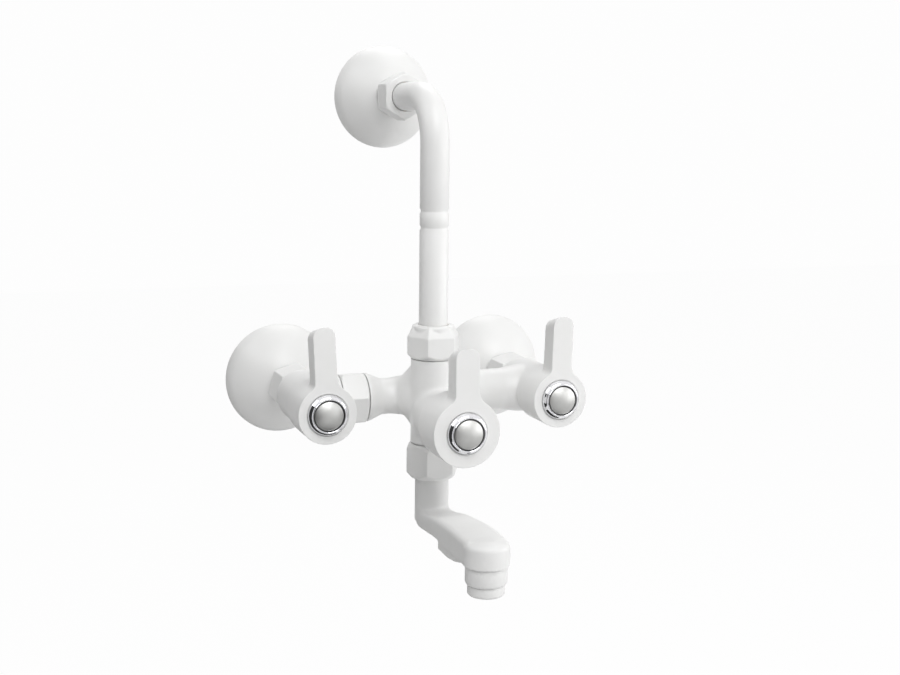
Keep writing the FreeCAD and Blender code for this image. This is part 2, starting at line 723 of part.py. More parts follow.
# Spout: a stem in the column's socket, a tube, and an arm that widens and thickens towards the outlet.
spout = new_body("spout", y=riser_y, turn=ALONG_Z)
arm_low = -size("arm_underside")
outlet_arm = size("outlet_reach") - riser_reach
tube_radius = size("tube_radius")
head = size("head_radius")
head_bottom = -size("head_bottom")
side_view = new_sketch(spout, "YZ_Plane")
rise_start = tube_radius + size("arm_rise_start")
rise_end = outlet_arm - size("arm_rise_end_gap")
arm_top = -size("arm_top_inner")
head_top = -size("arm_top_outer")
head_front = -outlet_arm - head - past
underside_end = -outlet_arm + size("outlet_collar_radius") + size("head_overhang")
draw_outline(side_view, [
    (NOTHING, arm_low), (NOTHING, arm_top + size("arm_root_rise")),
    (-tube_radius, arm_top + size("arm_shoulder_rise")), (-rise_start, arm_top), (-rise_end, head_top),
    (head_front, head_top), (head_front, head_bottom), (underside_end, head_bottom)])
extruded(spout, side_view, head * 2, both_ways=True)
plan = new_sketch(spout, "XY_Plane")
beside = head + past
paddle_start = -size("paddle_start")
paddle_end = size("paddle_end_gap") - outlet_arm
draw_outline(plan, [
    (tube_radius, past), (tube_radius, paddle_start), (head, paddle_end),
    (head, -outlet_arm, head, -1), (NOTHING, -outlet_arm - head, head, -1), (-head, -outlet_arm),
    (-head, paddle_end), (-tube_radius, paddle_start), (-tube_radius, past),
    (-beside, past), (-beside, head_front - past), (beside, head_front - past), (beside, past)])
extruded(spout, plan, size("arm_underside") + past, cut=True)
tube_foot = size("tube_foot")
turned(spout, [
    (NOTHING, arm_low), (tube_radius - tube_foot, arm_low), (tube_radius, arm_low + tube_foot),
    (tube_radius, ring_bottom - seam), (stem, ring_bottom - seam), (stem, stem_top), (NOTHING, stem_top)])
boss = new_sketch(spout, "YZ_Plane")
boss_low = -size("boss_bottom")
boss_top = head_bottom + size("boss_root")
boss_end = size("boss_end_gap") - outlet_arm
boss_start = boss_end + size("boss_length")
boss_chamfer = size("boss_chamfer")
draw_outline(boss, [
    (boss_start, boss_top), (boss_start, boss_low + boss_chamfer), (boss_start - boss_chamfer, boss_low),
    (boss_end, boss_low), (boss_end, boss_top)])
extruded(spout, boss, size("boss_width"), both_ways=True)
channel_level = -size("channel_level")
tube_bore = tube_radius - size("tube_wall")
stem_bore = stem - size("stem_wall")
stem_foot = ring_bottom - seam
turned(spout, [
    (NOTHING, channel_level), (tube_bore, channel_level), (tube_bore, stem_foot - size("stem_wall")),
    (stem_bore, stem_foot), (stem_bore, stem_top + past), (NOTHING, stem_top + past)], cut=True)
channel = new_sketch(spout, "XZ_Plane")
draw_circle(channel, NOTHING, channel_level, size("channel_radius"))
extruded(spout, channel, outlet_arm, cut=True, reverse=True)
outlet_axis = (NOTHING, NOTHING, outlet_arm)
turned(spout, [
    (NOTHING, boss_low), (size("outlet_bore"), boss_low),
    (size("outlet_bore"), -size("outlet_bore_top")), (NOTHING, -size("outlet_bore_top"))],
    cut=True, offset=outlet_axis)
turned(spout, [
    (groove_radius, ring_bottom), (stem + past, ring_bottom), (stem + past, ring_top),
    (groove_radius, ring_top)], cut=True)
o_ring = size("o_ring_section")
o_ring_groove_half = size("o_ring_groove") / 2
for step in range(2):
    level = stem_top - size("o_ring_depth") - size("o_ring_pitch") * step
    turned(spout, [
        (stem - o_ring, level - o_ring_groove_half), (stem + past, level - o_ring_groove_half),
        (stem + past, level + o_ring_groove_half), (stem - o_ring, level + o_ring_groove_half)], cut=True)

# Rubber rings that seal the stem in the socket.
o_rings = doc.addObject("Part::MultiFuse", "spout_o_rings")
o_rings.Label = "spout_o_rings"
torus_list = []
o_ring_half = (o_ring + socket_radius - stem - running_gap) / 2
for step in range(2):
    torus = doc.addObject("Part::Torus", f"o_ring_{step + 1}")
    torus.setExpression("Radius1", (socket_radius - running_gap - o_ring_half).text)
    torus.setExpression("Radius2", o_ring_half.text)
    torus.setExpression("Placement.Base.y", riser_y.text)
    level = stem_top - size("o_ring_depth") - size("o_ring_pitch") * step
    torus.setExpression("Placement.Base.z", level.text)
    torus_list.append(torus)
o_rings.Shapes = torus_list
doc.recompute()

# Outlet: a collar screwed into the spout's head, and below it the aerator's shell with its insert and washer.
outlet_y = -size("outlet_reach")
collar_bottom = -size("outlet_collar_bottom")
spigot = size("outlet_bore") - thread_gap
spigot_top = head_bottom + size("outlet_spigot_length")
aerator_wall = size("aerator_wall")
aerator_inner = size("aerator_radius") - aerator_wall
aerator_low = -size("aerator_bottom")
outlet_radius = size("outlet_collar_radius")
outlet_collar = new_body("outlet_collar", y=outlet_y, turn=ALONG_Z)
turned(outlet_collar, [
    (spigot - aerator_wall, spigot_top), (spigot - aerator_wall, collar_bottom),
    (outlet_radius - size("outlet_edge"), collar_bottom),
    (outlet_radius, collar_bottom + size("outlet_edge_height")), (outlet_radius, head_bottom),
    (spigot, head_bottom), (spigot, spigot_top)])
aerator_shell = new_body("aerator_shell", y=outlet_y, turn=ALONG_Z)
shell_top = collar_bottom + size("insert_thickness")
turned(aerator_shell, [
    (aerator_inner - aerator_wall, aerator_low), (size("aerator_radius") - size("aerator_edge"), aerator_low),
    (size("aerator_radius"), aerator_low + size("aerator_edge")), (size("aerator_radius"), collar_bottom),
    (spigot - aerator_wall - thread_gap, collar_bottom), (spigot - aerator_wall - thread_gap, shell_top),
    (spigot - aerator_wall * 2, shell_top), (spigot - aerator_wall * 2, aerator_low + aerator_wall),
    (aerator_inner - aerator_wall, aerator_low + aerator_wall)])
insert = new_body("aerator_insert", y=outlet_y, turn=ALONG_Z)
insert_radius = spigot - aerator_wall * 2 - thread_gap
insert_low = aerator_low + aerator_wall
insert_top = insert_low + size("insert_thickness")
turned(insert, [
    (NOTHING, insert_low), (insert_radius, insert_low), (insert_radius, insert_top), (NOTHING, insert_top)])
holes = new_sketch(insert, "XY_Plane", (NOTHING, NOTHING, insert_low - past))
pitch = size("insert_hole_pitch")
draw_circle(holes, NOTHING, NOTHING, size("insert_hole_radius"))
for ring in (1, 2):
    for index in range(6 * ring):
        angle = math.radians(60 / ring * index)
        draw_circle(holes, pitch * (ring * math.cos(angle)), pitch * (ring * math.sin(angle)),
                    size("insert_hole_radius"))
extruded(insert, holes, size("insert_thickness") + past * 2, cut=True, reverse=True)
aerator_washer = new_body("aerator_washer", y=outlet_y, turn=ALONG_Z)
turned(aerator_washer, ring_points(
    insert_radius - aerator_wall, spigot - aerator_wall - thread_gap, shell_top, shell_top + washer))


def dome_radius(rim, rise):
    """The radius of the ball that a dome is cut from."""
    return (rim * rim + rise * rise) / (rise * 2)


# Valve and handle sets: one at each side and one on the diverter barrel.
def valve_set(prefix, x, z, seat, front, cup_radius, lever_width, lever_length, housing_end, lean):
    place = {"x": x, "z": z}
    seal_top = seat + size("seal_thickness")
    disc = size("disc_thickness")
    moving_top = seal_top + disc * 2
    foot_top = moving_top + size("foot_height")
    spindle = size("spindle_radius")
    cup_back = front - size("cup_depth")
    face_back = front - size("cup_face")
    recess_floor = front - size("recess_depth")
    hub_back = face_back - size("hub_depth")
    spindle_top = recess_floor - size("hub_floor")
    tip_bottom = spindle_top - size("spindle_tip_length")
    tip = size("spindle_tip_radius")

    seat_seal = new_body(f"{prefix}_seat_seal", **place)
    turned(seat_seal, ring_points(size("seat_bore"), size("disc_radius"), seat, seal_top))

    for name, low in (("fixed_disc", seal_top), ("moving_disc", seal_top + disc)):
        plate = new_body(f"{prefix}_{name}", **place)
        turned(plate, [(NOTHING, low), (size("disc_radius"), low), (size("disc_radius"), low + disc),
                       (NOTHING, low + disc)])
        ports = new_sketch(plate, "XY_Plane", (NOTHING, NOTHING, low - past))
        for sign in (1, -1):
            draw_circle(ports, size("disc_port_reach") * sign, NOTHING, size("disc_port"))
        extruded(plate, ports, disc + past * 2, cut=True, reverse=True)

    shaft = new_body(f"{prefix}_spindle", **place)
    turned(shaft, [
        (NOTHING, moving_top), (size("foot_radius"), moving_top), (size("foot_radius"), foot_top),
        (spindle, foot_top), (spindle, tip_bottom), (tip, tip_bottom), (tip, spindle_top),
        (NOTHING, spindle_top)])
    screw_hole = size("screw_radius") + thread_gap
    screw_end = recess_floor - size("screw_length")
    turned(shaft, [
        (NOTHING, screw_end - past), (screw_hole, screw_end), (screw_hole, spindle_top + past),
        (NOTHING, spindle_top + past)], cut=True)

    bonnet = new_body(f"{prefix}_bonnet", **place)
    cage_low = seat + size("cage_lift")
    bonnet_collar_low = housing_end
    bonnet_collar_high = bonnet_collar_low + size("bonnet_collar_height")
    thread_low = bonnet_collar_low - size("bonnet_thread_length")
    neck_high = hub_back - seam
    bearing = spindle + running_gap
    turned(bonnet, [
        (size("cage_bore"), cage_low), (size("cage_radius"), cage_low), (size("cage_radius"), thread_low),
        (size("bonnet_thread_radius"), thread_low), (size("bonnet_thread_radius"), bonnet_collar_low),
        (size("bonnet_collar_radius"), bonnet_collar_low), (size("bonnet_collar_radius"), bonnet_collar_high),
        (size("bonnet_neck_radius"), bonnet_collar_high), (size("bonnet_neck_radius"), neck_high),
        (bearing, neck_high), (bearing, foot_top + seam), (size("cage_bore"), foot_top + seam)])
    windows = new_sketch(bonnet, "XY_Plane", (NOTHING, NOTHING, moving_top - disc + seam))
    window_half = size("window_width") / 2
    window_reach = size("cage_radius") + past
    draw_outline(windows, [
        (-window_reach, -window_half), (window_reach, -window_half), (window_reach, window_half),
        (-window_reach, window_half)])
    extruded(bonnet, windows, size("foot_height") + disc - seam, cut=True, reverse=True)

    handle = new_body(f"{prefix}_handle", **place)
    handle.Placement = FreeCAD.Placement(
        handle.Placement.Base, OUT_OF_WALL.multiply(FreeCAD.Rotation(FreeCAD.Vector(0, 0, 1), lean.number)))
    turned(handle, [(NOTHING, cup_back), (cup_radius, cup_back), (cup_radius, front), (NOTHING, front)])
    lever = new_sketch(handle, "XY_Plane", (NOTHING, NOTHING, front - size("lever_thickness")))
    half = lever_width / 2
    blend = size("lever_blend")
    corner = size("lever_corner")
    blend_centre = half + blend
    blend_level = ((cup_radius + blend) * (cup_radius + blend) - blend_centre * blend_centre).root()
    share = cup_radius / (cup_radius + blend)
    foot_across = blend_centre * share
    foot_along = blend_level * share
    draw_outline(lever, [
        (foot_across, foot_along, blend, -1), (half, blend_level), (half, lever_length - corner, corner, 1),
        (half - corner, lever_length), (corner - half, lever_length, corner, 1),
        (-half, lever_length - corner), (-half, blend_level, blend, -1), (-foot_across, foot_along)])
    extruded(handle, lever, size("lever_thickness"))

    cavity = cup_radius - size("cup_wall")
    hub = size("hub_radius")
    turned(handle, [
        (hub, cup_back - past), (cavity, cup_back - past), (cavity, face_back), (hub, face_back)], cut=True)
    turned(handle, [
        (NOTHING, cup_back - past), (hub + seam, cup_back - past), (hub + seam, hub_back),
        (spindle + thread_gap, hub_back), (spindle + thread_gap, tip_bottom), (tip + thread_gap, tip_bottom),
        (tip + thread_gap, spindle_top), (screw_hole, spindle_top), (screw_hole, recess_floor),
        (size("recess_radius"), recess_floor), (size("recess_radius"), front + past),
        (NOTHING, front + past)], cut=True)

    ring = new_body(f"{prefix}_bezel", **place)
    ring_front = front + size("bezel_height")
    bezel = size("bezel_radius")
    edge = size("bezel_edge")
    turned(ring, [
        (size("bezel_bore"), recess_floor), (size("recess_radius") - thread_gap, recess_floor),
        (size("recess_radius") - thread_gap, front), (bezel, front), (bezel, ring_front - edge),
        (bezel - edge, ring_front), (size("bezel_bore") + edge, ring_front),
        (size("bezel_bore"), ring_front - edge)])

    cap = new_body(f"{prefix}_cap", **place)
    cap_radius = size("cap_radius")
    cap_low = ring_front - size("cap_skirt")
    crown = size("cap_crown")
    wall = size("cap_wall")
    inside = cap_radius - wall
    turned(cap, [
        (inside, cap_low), (cap_radius, cap_low), (cap_radius, ring_front, dome_radius(cap_radius, crown), 1),
        (NOTHING, ring_front + crown), (NOTHING, ring_front + crown - wall, dome_radius(inside, crown), -1),
        (inside, ring_front - wall)])

    screw = new_body(f"{prefix}_screw", **place)
    head_top = recess_floor + size("screw_head_height")
    turned(screw, [
        (NOTHING, screw_end), (size("screw_radius"), screw_end),
        (size("screw_radius"), recess_floor), (size("screw_head_radius"), recess_floor),
        (size("screw_head_radius"), head_top), (NOTHING, head_top)])
    slot = new_sketch(screw, "XY_Plane", (NOTHING, NOTHING, head_top - size("screw_slot")))
    reach = size("screw_head_radius") + past
    slot_half = size("screw_slot") / 2
    draw_outline(slot, [(-reach, -slot_half), (reach, -slot_half), (reach, slot_half), (-reach, slot_half)])
    extruded(screw, slot, size("screw_slot") + past, cut=True, reverse=True)


for side, x in (("left", left_x), ("right", right_x)):
    valve_set(side, x, NOTHING, side_seat, size("arm_reach") + size("side_front_ahead"),
              size("side_cup_radius"), size("side_lever_width"), size("side_lever_length"), neck_end,
              size(f"{side}_lean"))
valve_set("centre", NOTHING, -size("centre_drop"), centre_seat, riser_reach + size("centre_front_ahead"),
          size("centre_cup_radius"), size("centre_lever_width"), size("centre_lever_length"), barrel_neck_end,
          NOTHING)

# Check every object and every sub-part, then write the sub-parts.
doc.recompute()
parts = [item for item in doc.Objects if item.TypeId == "PartDesign::Body"] + [o_rings]
failed = [item.Label for item in doc.Objects if "Invalid" in item.State or "Error" in item.State]
failed += [item.Label for item in parts if item.Shape.isNull() or not item.Shape.isValid()]
if failed:
    raise ValueError(f"not made: {failed}")
os.makedirs("parts", exist_ok=True)
for item in parts:
    item.Shape.exportStep(f"parts/{item.Label}.step")
    print(item.Label, len(item.Shape.Solids), "solids", round(item.Shape.Volume, 1))
print(len(parts), "sub-parts")
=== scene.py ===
import math

import bmesh
import bpy
from mathutils import Euler, Matrix, Vector


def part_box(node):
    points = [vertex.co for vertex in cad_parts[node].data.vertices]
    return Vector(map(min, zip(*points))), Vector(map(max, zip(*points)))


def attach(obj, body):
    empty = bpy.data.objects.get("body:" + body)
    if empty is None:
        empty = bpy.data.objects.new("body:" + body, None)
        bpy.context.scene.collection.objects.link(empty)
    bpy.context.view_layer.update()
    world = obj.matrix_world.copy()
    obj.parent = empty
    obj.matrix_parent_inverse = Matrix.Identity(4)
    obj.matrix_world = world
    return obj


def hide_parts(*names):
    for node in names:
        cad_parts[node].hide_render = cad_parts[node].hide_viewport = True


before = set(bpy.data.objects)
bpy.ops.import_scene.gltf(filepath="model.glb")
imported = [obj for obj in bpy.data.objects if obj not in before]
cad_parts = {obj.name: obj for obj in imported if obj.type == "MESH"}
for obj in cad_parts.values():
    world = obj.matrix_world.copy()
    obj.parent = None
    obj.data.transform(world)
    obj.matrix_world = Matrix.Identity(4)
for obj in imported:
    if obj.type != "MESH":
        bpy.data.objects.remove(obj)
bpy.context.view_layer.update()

MM = 0.001


# Legs in the wall.
# Three brass tubes, chromed, with a pipe thread at the back that is screwed into the elbow in the wall.
# Each has a collar in front, which its nut pulls against a washer.
class Tree:
    """The nodes of one material, or of the world."""

    def __init__(self, nodes):
        self.nodes = nodes

    def node(self, kind, settings, sockets, output=0):
        """Adds a node: its kind, its settings, then the values or links of its sockets."""
        made = self.nodes.nodes.new(kind)
        for name, setting in settings.items():
            setattr(made, name, setting)
        for name, given in sockets.items():
            self.feed(made.inputs[name], given)
        return Amount(self, made.outputs[output])

    def feed(self, socket, given):
        if isinstance(given, Amount):
            self.nodes.links.new(given.socket, socket)
        else:
            socket.default_value = given


class Amount:
    """A node's output. Python's signs between such outputs and numbers add Math nodes."""

    def __init__(self, tree, socket):
        self.tree = tree
        self.socket = socket

    def worked(self, operation, first, second):
        return self.tree.node("ShaderNodeMath", {"operation": operation}, {0: first, 1: second})

    def __add__(self, other):
        return self.worked("ADD", self, other)

    __radd__ = __add__

    def __mul__(self, other):
        return self.worked("MULTIPLY", self, other)

    __rmul__ = __mul__

    def __gt__(self, other):
        return self.worked("GREATER_THAN", self, other)


def finish(name):
    """A new material: its nodes, its shader, and the place of a point on the object."""
    material = bpy.data.materials.new(name)
    material.use_nodes = True
    tree = Tree(material.node_tree)
    shader = material.node_tree.nodes["Principled BSDF"]
    place = tree.node("ShaderNodeTexCoord", {}, {}, "Object")
    return material, tree, shader.inputs, place


def noise(tree, place, size, detail=2.0):
    """Soft random blotches of about this size in millimetres, from 0 to 1."""
    return tree.node("ShaderNodeTexNoise", {}, {"Vector": place, "Scale": 1 / (size * MM), "Detail": detail})


def waves(tree, distance, pitch):
    """Even ridges along a distance, at this pitch in millimetres, from -1 to 1."""
    angle = distance * (2 * math.pi / (pitch * MM))
    return tree.node("ShaderNodeMath", {"operation": "SINE"}, {0: angle})


def bump(tree, height, depth):
    """A relief of this depth in millimetres."""
    return tree.node("ShaderNodeBump", {}, {"Height": height, "Strength": 1.0, "Distance": depth * MM})


def tinted(tree, amount, first, second):
    """One colour turning into another where the amount goes from 0 to 1."""
    return tree.node("ShaderNodeMix", {"data_type": "RGBA"}, {0: amount, 6: (*first, 1), 7: (*second, 1)}, 2)


def spread(amount, ends):
    """An amount from 0 to 1 spread from the first of two values to the second."""
    low, high = ends
    return amount * (high - low) + low


def dress(material, *nodes):
    """Gives a material to nodes whose shape stays as it is."""
    for node in nodes:
        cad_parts[node].data.materials.clear()
        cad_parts[node].data.materials.append(material)


SHANK_LIGHT = (0.80, 0.80, 0.81)
SHANK_DARK = (0.66, 0.66, 0.68)
SHANK_ROUGHNESS = (0.12, 0.27)
SMUDGE_SIZE = 9.0
THREAD_PITCH = 1.8
THREAD_DEPTH = 0.5
plated_shank, tree, skin, place = finish("plated_shank")
depth_in_wall = tree.node("ShaderNodeSeparateXYZ", {}, {0: place}, "Y")
ridges = waves(tree, depth_in_wall, THREAD_PITCH)
smudges = noise(tree, place, SMUDGE_SIZE)
tree.feed(skin["Base Color"], tinted(tree, smudges, SHANK_LIGHT, SHANK_DARK))
tree.feed(skin["Metallic"], 1.0)
tree.feed(skin["Roughness"], spread(smudges, SHANK_ROUGHNESS))
tree.feed(skin["Normal"], bump(tree, ridges * (depth_in_wall > 0.0), THREAD_DEPTH))
dress(plated_shank, "left_inlet_leg", "right_inlet_leg", "top_wall_leg")


# Washers and seals.
# Black rubber rings, cut or moulded, that the nuts squeeze tight: at the three legs, at the union, at the
# foot of the bend pipe, round the spout's stem, under the valve discs and in the outlet.
RUBBER_BLACK = (0.030, 0.030, 0.032)
RUBBER_WORN = (0.060, 0.060, 0.062)
RUBBER_ROUGHNESS = (0.6, 0.8)
RUBBER_GRAIN = 0.9
RUBBER_DEPTH = 0.03
rubber, tree, skin, place = finish("rubber")
grain = noise(tree, place, RUBBER_GRAIN, 3.0)
tree.feed(skin["Base Color"], tinted(tree, grain, RUBBER_BLACK, RUBBER_WORN))
tree.feed(skin["Roughness"], spread(grain, RUBBER_ROUGHNESS))
tree.feed(skin["Normal"], bump(tree, grain, RUBBER_DEPTH))
dress(rubber, "left_inlet_washer", "right_inlet_washer", "top_washer", "union_washer", "upper_washer",
      "spout_o_rings", "aerator_washer", "left_seat_seal", "right_seat_seal", "centre_seat_seal")


# Wall flanges.
# Thin pressed brass bells, enamelled white, that slide along the leg and cover the hole in the wall.
# Their rims are turned to a short skirt that stands on the wall.
ENAMEL = (0.83, 0.83, 0.825)
ENAMEL_DEEP = (0.79, 0.79, 0.78)
ENAMEL_ROUGHNESS = (0.34, 0.44)
ENAMEL_SHEEN = 0.45
CLOUD_SIZE = 14.0
PEEL_SIZE = 2.2
PEEL_DEPTH = 0.010
white_enamel, tree, skin, place = finish("white_enamel")
clouds = noise(tree, place, CLOUD_SIZE)
peel = noise(tree, place, PEEL_SIZE, 1.0)
tree.feed(skin["Base Color"], tinted(tree, clouds, ENAMEL, ENAMEL_DEEP))
tree.feed(skin["Roughness"], spread(clouds, ENAMEL_ROUGHNESS))
tree.feed(skin["Normal"], bump(tree, peel, PEEL_DEPTH))
tree.feed(skin["Specular IOR Level"], ENAMEL_SHEEN)

# How a turned piece's axis stands: out from the wall, sideways to the right, or up.
STANDS = {"out": Euler((math.pi / 2, 0, 0)), "side": Euler((0, math.pi / 2, 0)), "up": Euler((0, 0, 0))}
TURNED_SIDES = 96
TOUCHING = MM / 1000
# Edges sharper than the first angle are rounded, and those flatter than the second are shaded smooth.
EDGE_DEGREES = 25.0
SMOOTH_DEGREES = 32.0


def middle(node):
    """The centre of a node's box."""
    low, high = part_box(node)
    return (low + high) / 2


def start_at(node, way):
    """The point of a node's axis where the piece's lengths are counted from: the wall, the column's plane or
    the height of the inlets."""
    centre = middle(node)
    axis = {"out": 1, "side": 0, "up": 2}[way]
    centre[axis] = 0.0
    return centre


def only(shape):
    """Leaves nothing but this shape selected and active."""
    bpy.ops.object.select_all(action="DESELECT")
    shape.select_set(True)
    bpy.context.view_layer.objects.active = shape


def drawn(name, profile, start, way, sides=TURNED_SIDES):
    """Starts a shape as off a lathe: a circle at the first point of the profile, then drawn out and widened
    ring by ring. A point is the radius and the distance along the axis. The last ring stays selected."""
    bpy.ops.object.select_all(action="DESELECT")
    turn = STANDS[way]
    along = turn.to_matrix() @ Vector((0, 0, 1))
    radius, level = profile[0]
    here = Vector(start) + along * (level * MM)
    bpy.ops.mesh.primitive_circle_add(vertices=sides, radius=radius * MM, location=here, rotation=turn)
    shape = bpy.context.object
    shape.name = name
    bpy.ops.object.mode_set(mode="EDIT")
    for next_radius, next_level in profile[1:]:
        move = along * ((next_level - level) * MM)
        bpy.ops.mesh.extrude_region_move(TRANSFORM_OT_translate={"value": move})
        here += move
        widening = [1 if abs(part) > 0.5 else next_radius / radius for part in along]
        bpy.ops.transform.resize(value=widening, center_override=here)
        radius, level = next_radius, next_level
    return shape


def settled(shape):
    """Merges what meets, turns the faces outwards, and puts the shape's place into its mesh."""
    bpy.ops.mesh.select_all(action="SELECT")
    bpy.ops.mesh.remove_doubles(threshold=TOUCHING)
    bpy.ops.mesh.normals_make_consistent(inside=False)
    bpy.ops.object.mode_set(mode="OBJECT")
    only(shape)
    bpy.ops.object.transform_apply(location=True, rotation=True, scale=True)
    return shape


def open_rims():
    """Selects the open edges of the shape in hand."""
    bpy.ops.mesh.select_mode(type="EDGE")
    bpy.ops.mesh.select_all(action="DESELECT")
    bpy.ops.mesh.select_non_manifold()


def turned(name, profile, start, way, sides=TURNED_SIDES):
    """A ring as off a lathe: the last circle of its profile is joined back to the first."""
    shape = drawn(name, profile, start, way, sides)
    open_rims()
    bpy.ops.mesh.bridge_edge_loops()
    return settled(shape)


def turned_bar(name, profile, start, way):
    """A bar as off a lathe, filled at both ends."""
    shape = drawn(name, profile, start, way)
    open_rims()
    bpy.ops.mesh.fill_holes(sides=0)
    return settled(shape)


def rod(name, radius, first, last, start, way):
    """A plain round rod from one level to another."""
    return turned_bar(name, [(radius, first), (radius, last)], start, way)


def worked_by(shape, kind, **settings):
    """Adds a modifier to the shape, sets it and applies it."""
    only(shape)
    bpy.ops.object.modifier_add(type=kind)
    added = shape.modifiers[-1]
    for name, setting in settings.items():
        setattr(added, name, setting)
    bpy.ops.object.modifier_apply(modifier=added.name)


def eased(shape, width):
    """Rounds the sharp edges."""
    worked_by(shape, "BEVEL", width=width * MM, segments=3, limit_method="ANGLE",
              angle_limit=math.radians(EDGE_DEGREES))


def done(shape, material, slot, body, *nodes):
    """The finished piece: smooth, in its material, riding on its body in place of its nodes."""
    only(shape)
    bpy.ops.object.shade_smooth_by_angle(angle=math.radians(SMOOTH_DEGREES))
    shape.data.name = shape.name
    shape.data.materials.clear()
    shape.data.materials.append(material)
    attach(shape, body)
    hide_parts(*nodes)


def arc(first, last, radius, outward, count):
    """Points between two points of a profile on an arc of this radius. Outward is 1 for a swelling arc as
    seen from the axis and -1 for a hollow one."""
    a = Vector(first)
    b = Vector(last)
    chord = b - a
    rise = math.sqrt(max(radius ** 2 - (chord.length / 2) ** 2, 0.0))
    side = Vector((-chord.y, chord.x)).normalized() * outward
    centre = (a + b) / 2 + side * rise
    start = a - centre
    turn = start.angle_signed(b - centre)
    points = []
    for step in range(1, count):
        spoke = start.copy()
        spoke.rotate(Matrix.Rotation(-turn * step / count, 2))
        points.append(tuple(centre + spoke))
    return points


FLANGE_HOLE = 10.78
FLANGE_WALL = 2.0
FLANGE_RIM = 7.0
FLANGE_DRAFT = 2.3
FLANGE_NECK = 13.2
FLANGE_NECK_WALL = 1.0
FLANGE_NECK_DEPTH = 3.0
FLANGE_SWELL = 60.0
FLANGE_EDGE = 0.9
SIDE_FLANGE = (36.7, 28.0)
TOP_FLANGE = (33.6, 27.0)
for side, (radius, height) in (("left", SIDE_FLANGE), ("right", SIDE_FLANGE), ("top", TOP_FLANGE)):
    node = f"{side}_wall_flange"
    shoulder = radius - FLANGE_DRAFT
    swell = arc((shoulder, FLANGE_RIM), (FLANGE_NECK, height), FLANGE_SWELL, 1, 12)
    inside_top = (FLANGE_NECK - FLANGE_NECK_WALL, height - FLANGE_NECK_DEPTH)
    inside_rim = (shoulder - FLANGE_WALL, FLANGE_RIM - FLANGE_WALL)
    hollow = arc(inside_top, inside_rim, FLANGE_SWELL - FLANGE_WALL, -1, 12)
    flange = turned(f"{node}_bell", [
        (radius - FLANGE_WALL, 0.0), (radius, 0.0), (shoulder, FLANGE_RIM), *swell, (FLANGE_NECK, height),
        (FLANGE_HOLE, height), (FLANGE_HOLE, height - FLANGE_NECK_DEPTH), inside_top, *hollow, inside_rim],
        start_at(node, "out"), "out", sides=128)
    eased(flange, FLANGE_EDGE)
    done(flange, white_enamel, "white_enamel", "fixed", node)


# Inlet nuts and top nut.
# Hexagonal brass union nuts, chamfered at both ends and enamelled, which draw the valve bodies, and the bend
# pipe's end, to the legs. Each turns on its own thread and is fixed once tight.
def carved(shape, tool, operation="DIFFERENCE"):
    """Cuts the tool out of the shape, joins it on, or keeps what both share."""
    worked_by(shape, "BOOLEAN", object=tool, operation=operation, solver="EXACT")
    bpy.data.objects.remove(tool)


def softened(shape, grain_size, rounds):
    """A cast or enamelled skin: the shape is made of small even faces, and its edges and inner corners
    flow."""
    worked_by(shape, "REMESH", mode="VOXEL", voxel_size=grain_size * MM)
    worked_by(shape, "SMOOTH", factor=0.5, iterations=rounds)


def flowing(shape, rounds, amount_at):
    """Lets the skin flow further where the amount, worked out from a point's place in millimetres, says
    so."""
    group = shape.vertex_groups.new(name="flow")
    for point in shape.data.vertices:
        amount = amount_at(point.co / MM)
        if amount > 0:
            group.add([point.index], min(amount, 1.0), "REPLACE")
    worked_by(shape, "SMOOTH", factor=0.5, iterations=rounds, vertex_group="flow")
    shape.vertex_groups.clear()


def six_sided(name, corner, low, high, start, way, turn_degrees, lean):
    """A six-sided bar. A lean is how far its sides come in towards the high end, and over what length."""
    bpy.ops.object.select_all(action="DESELECT")
    stand = STANDS[way].to_matrix()
    along = stand @ Vector((0, 0, 1))
    spin = stand @ Matrix.Rotation(math.radians(turn_degrees - 360.0 / 12), 3, "Z")
    inset, reach = lean
    bpy.ops.mesh.primitive_cylinder_add(
        vertices=6, radius=corner * MM, depth=(high - reach - low) * MM,
        location=Vector(start) + along * ((low + high - reach) / 2 * MM), rotation=spin.to_euler())
    shape = bpy.context.object
    shape.name = name
    if reach:
        bpy.ops.object.mode_set(mode="EDIT")
        bpy.ops.mesh.select_mode(type="FACE")
        bpy.ops.mesh.select_all(action="DESELECT")
        bar = bmesh.from_edit_mesh(shape.data)
        max(bar.faces, key=lambda face: face.calc_center_median().z).select_set(True)
        bmesh.update_edit_mesh(shape.data)
        bpy.ops.mesh.extrude_region_move(TRANSFORM_OT_translate={"value": along * reach * MM})
        bpy.ops.transform.resize(value=[1 - inset / corner] * 3)
        bpy.ops.mesh.select_mode(type="EDGE")
        bpy.ops.object.mode_set(mode="OBJECT")
    bpy.ops.object.transform_apply(location=True, rotation=True, scale=True)
    return shape


# How far a cutting tool reaches past the metal that it cuts.
PAST = 1.0
NUT_GRAIN = 0.4
NUT_ROUNDS = 7


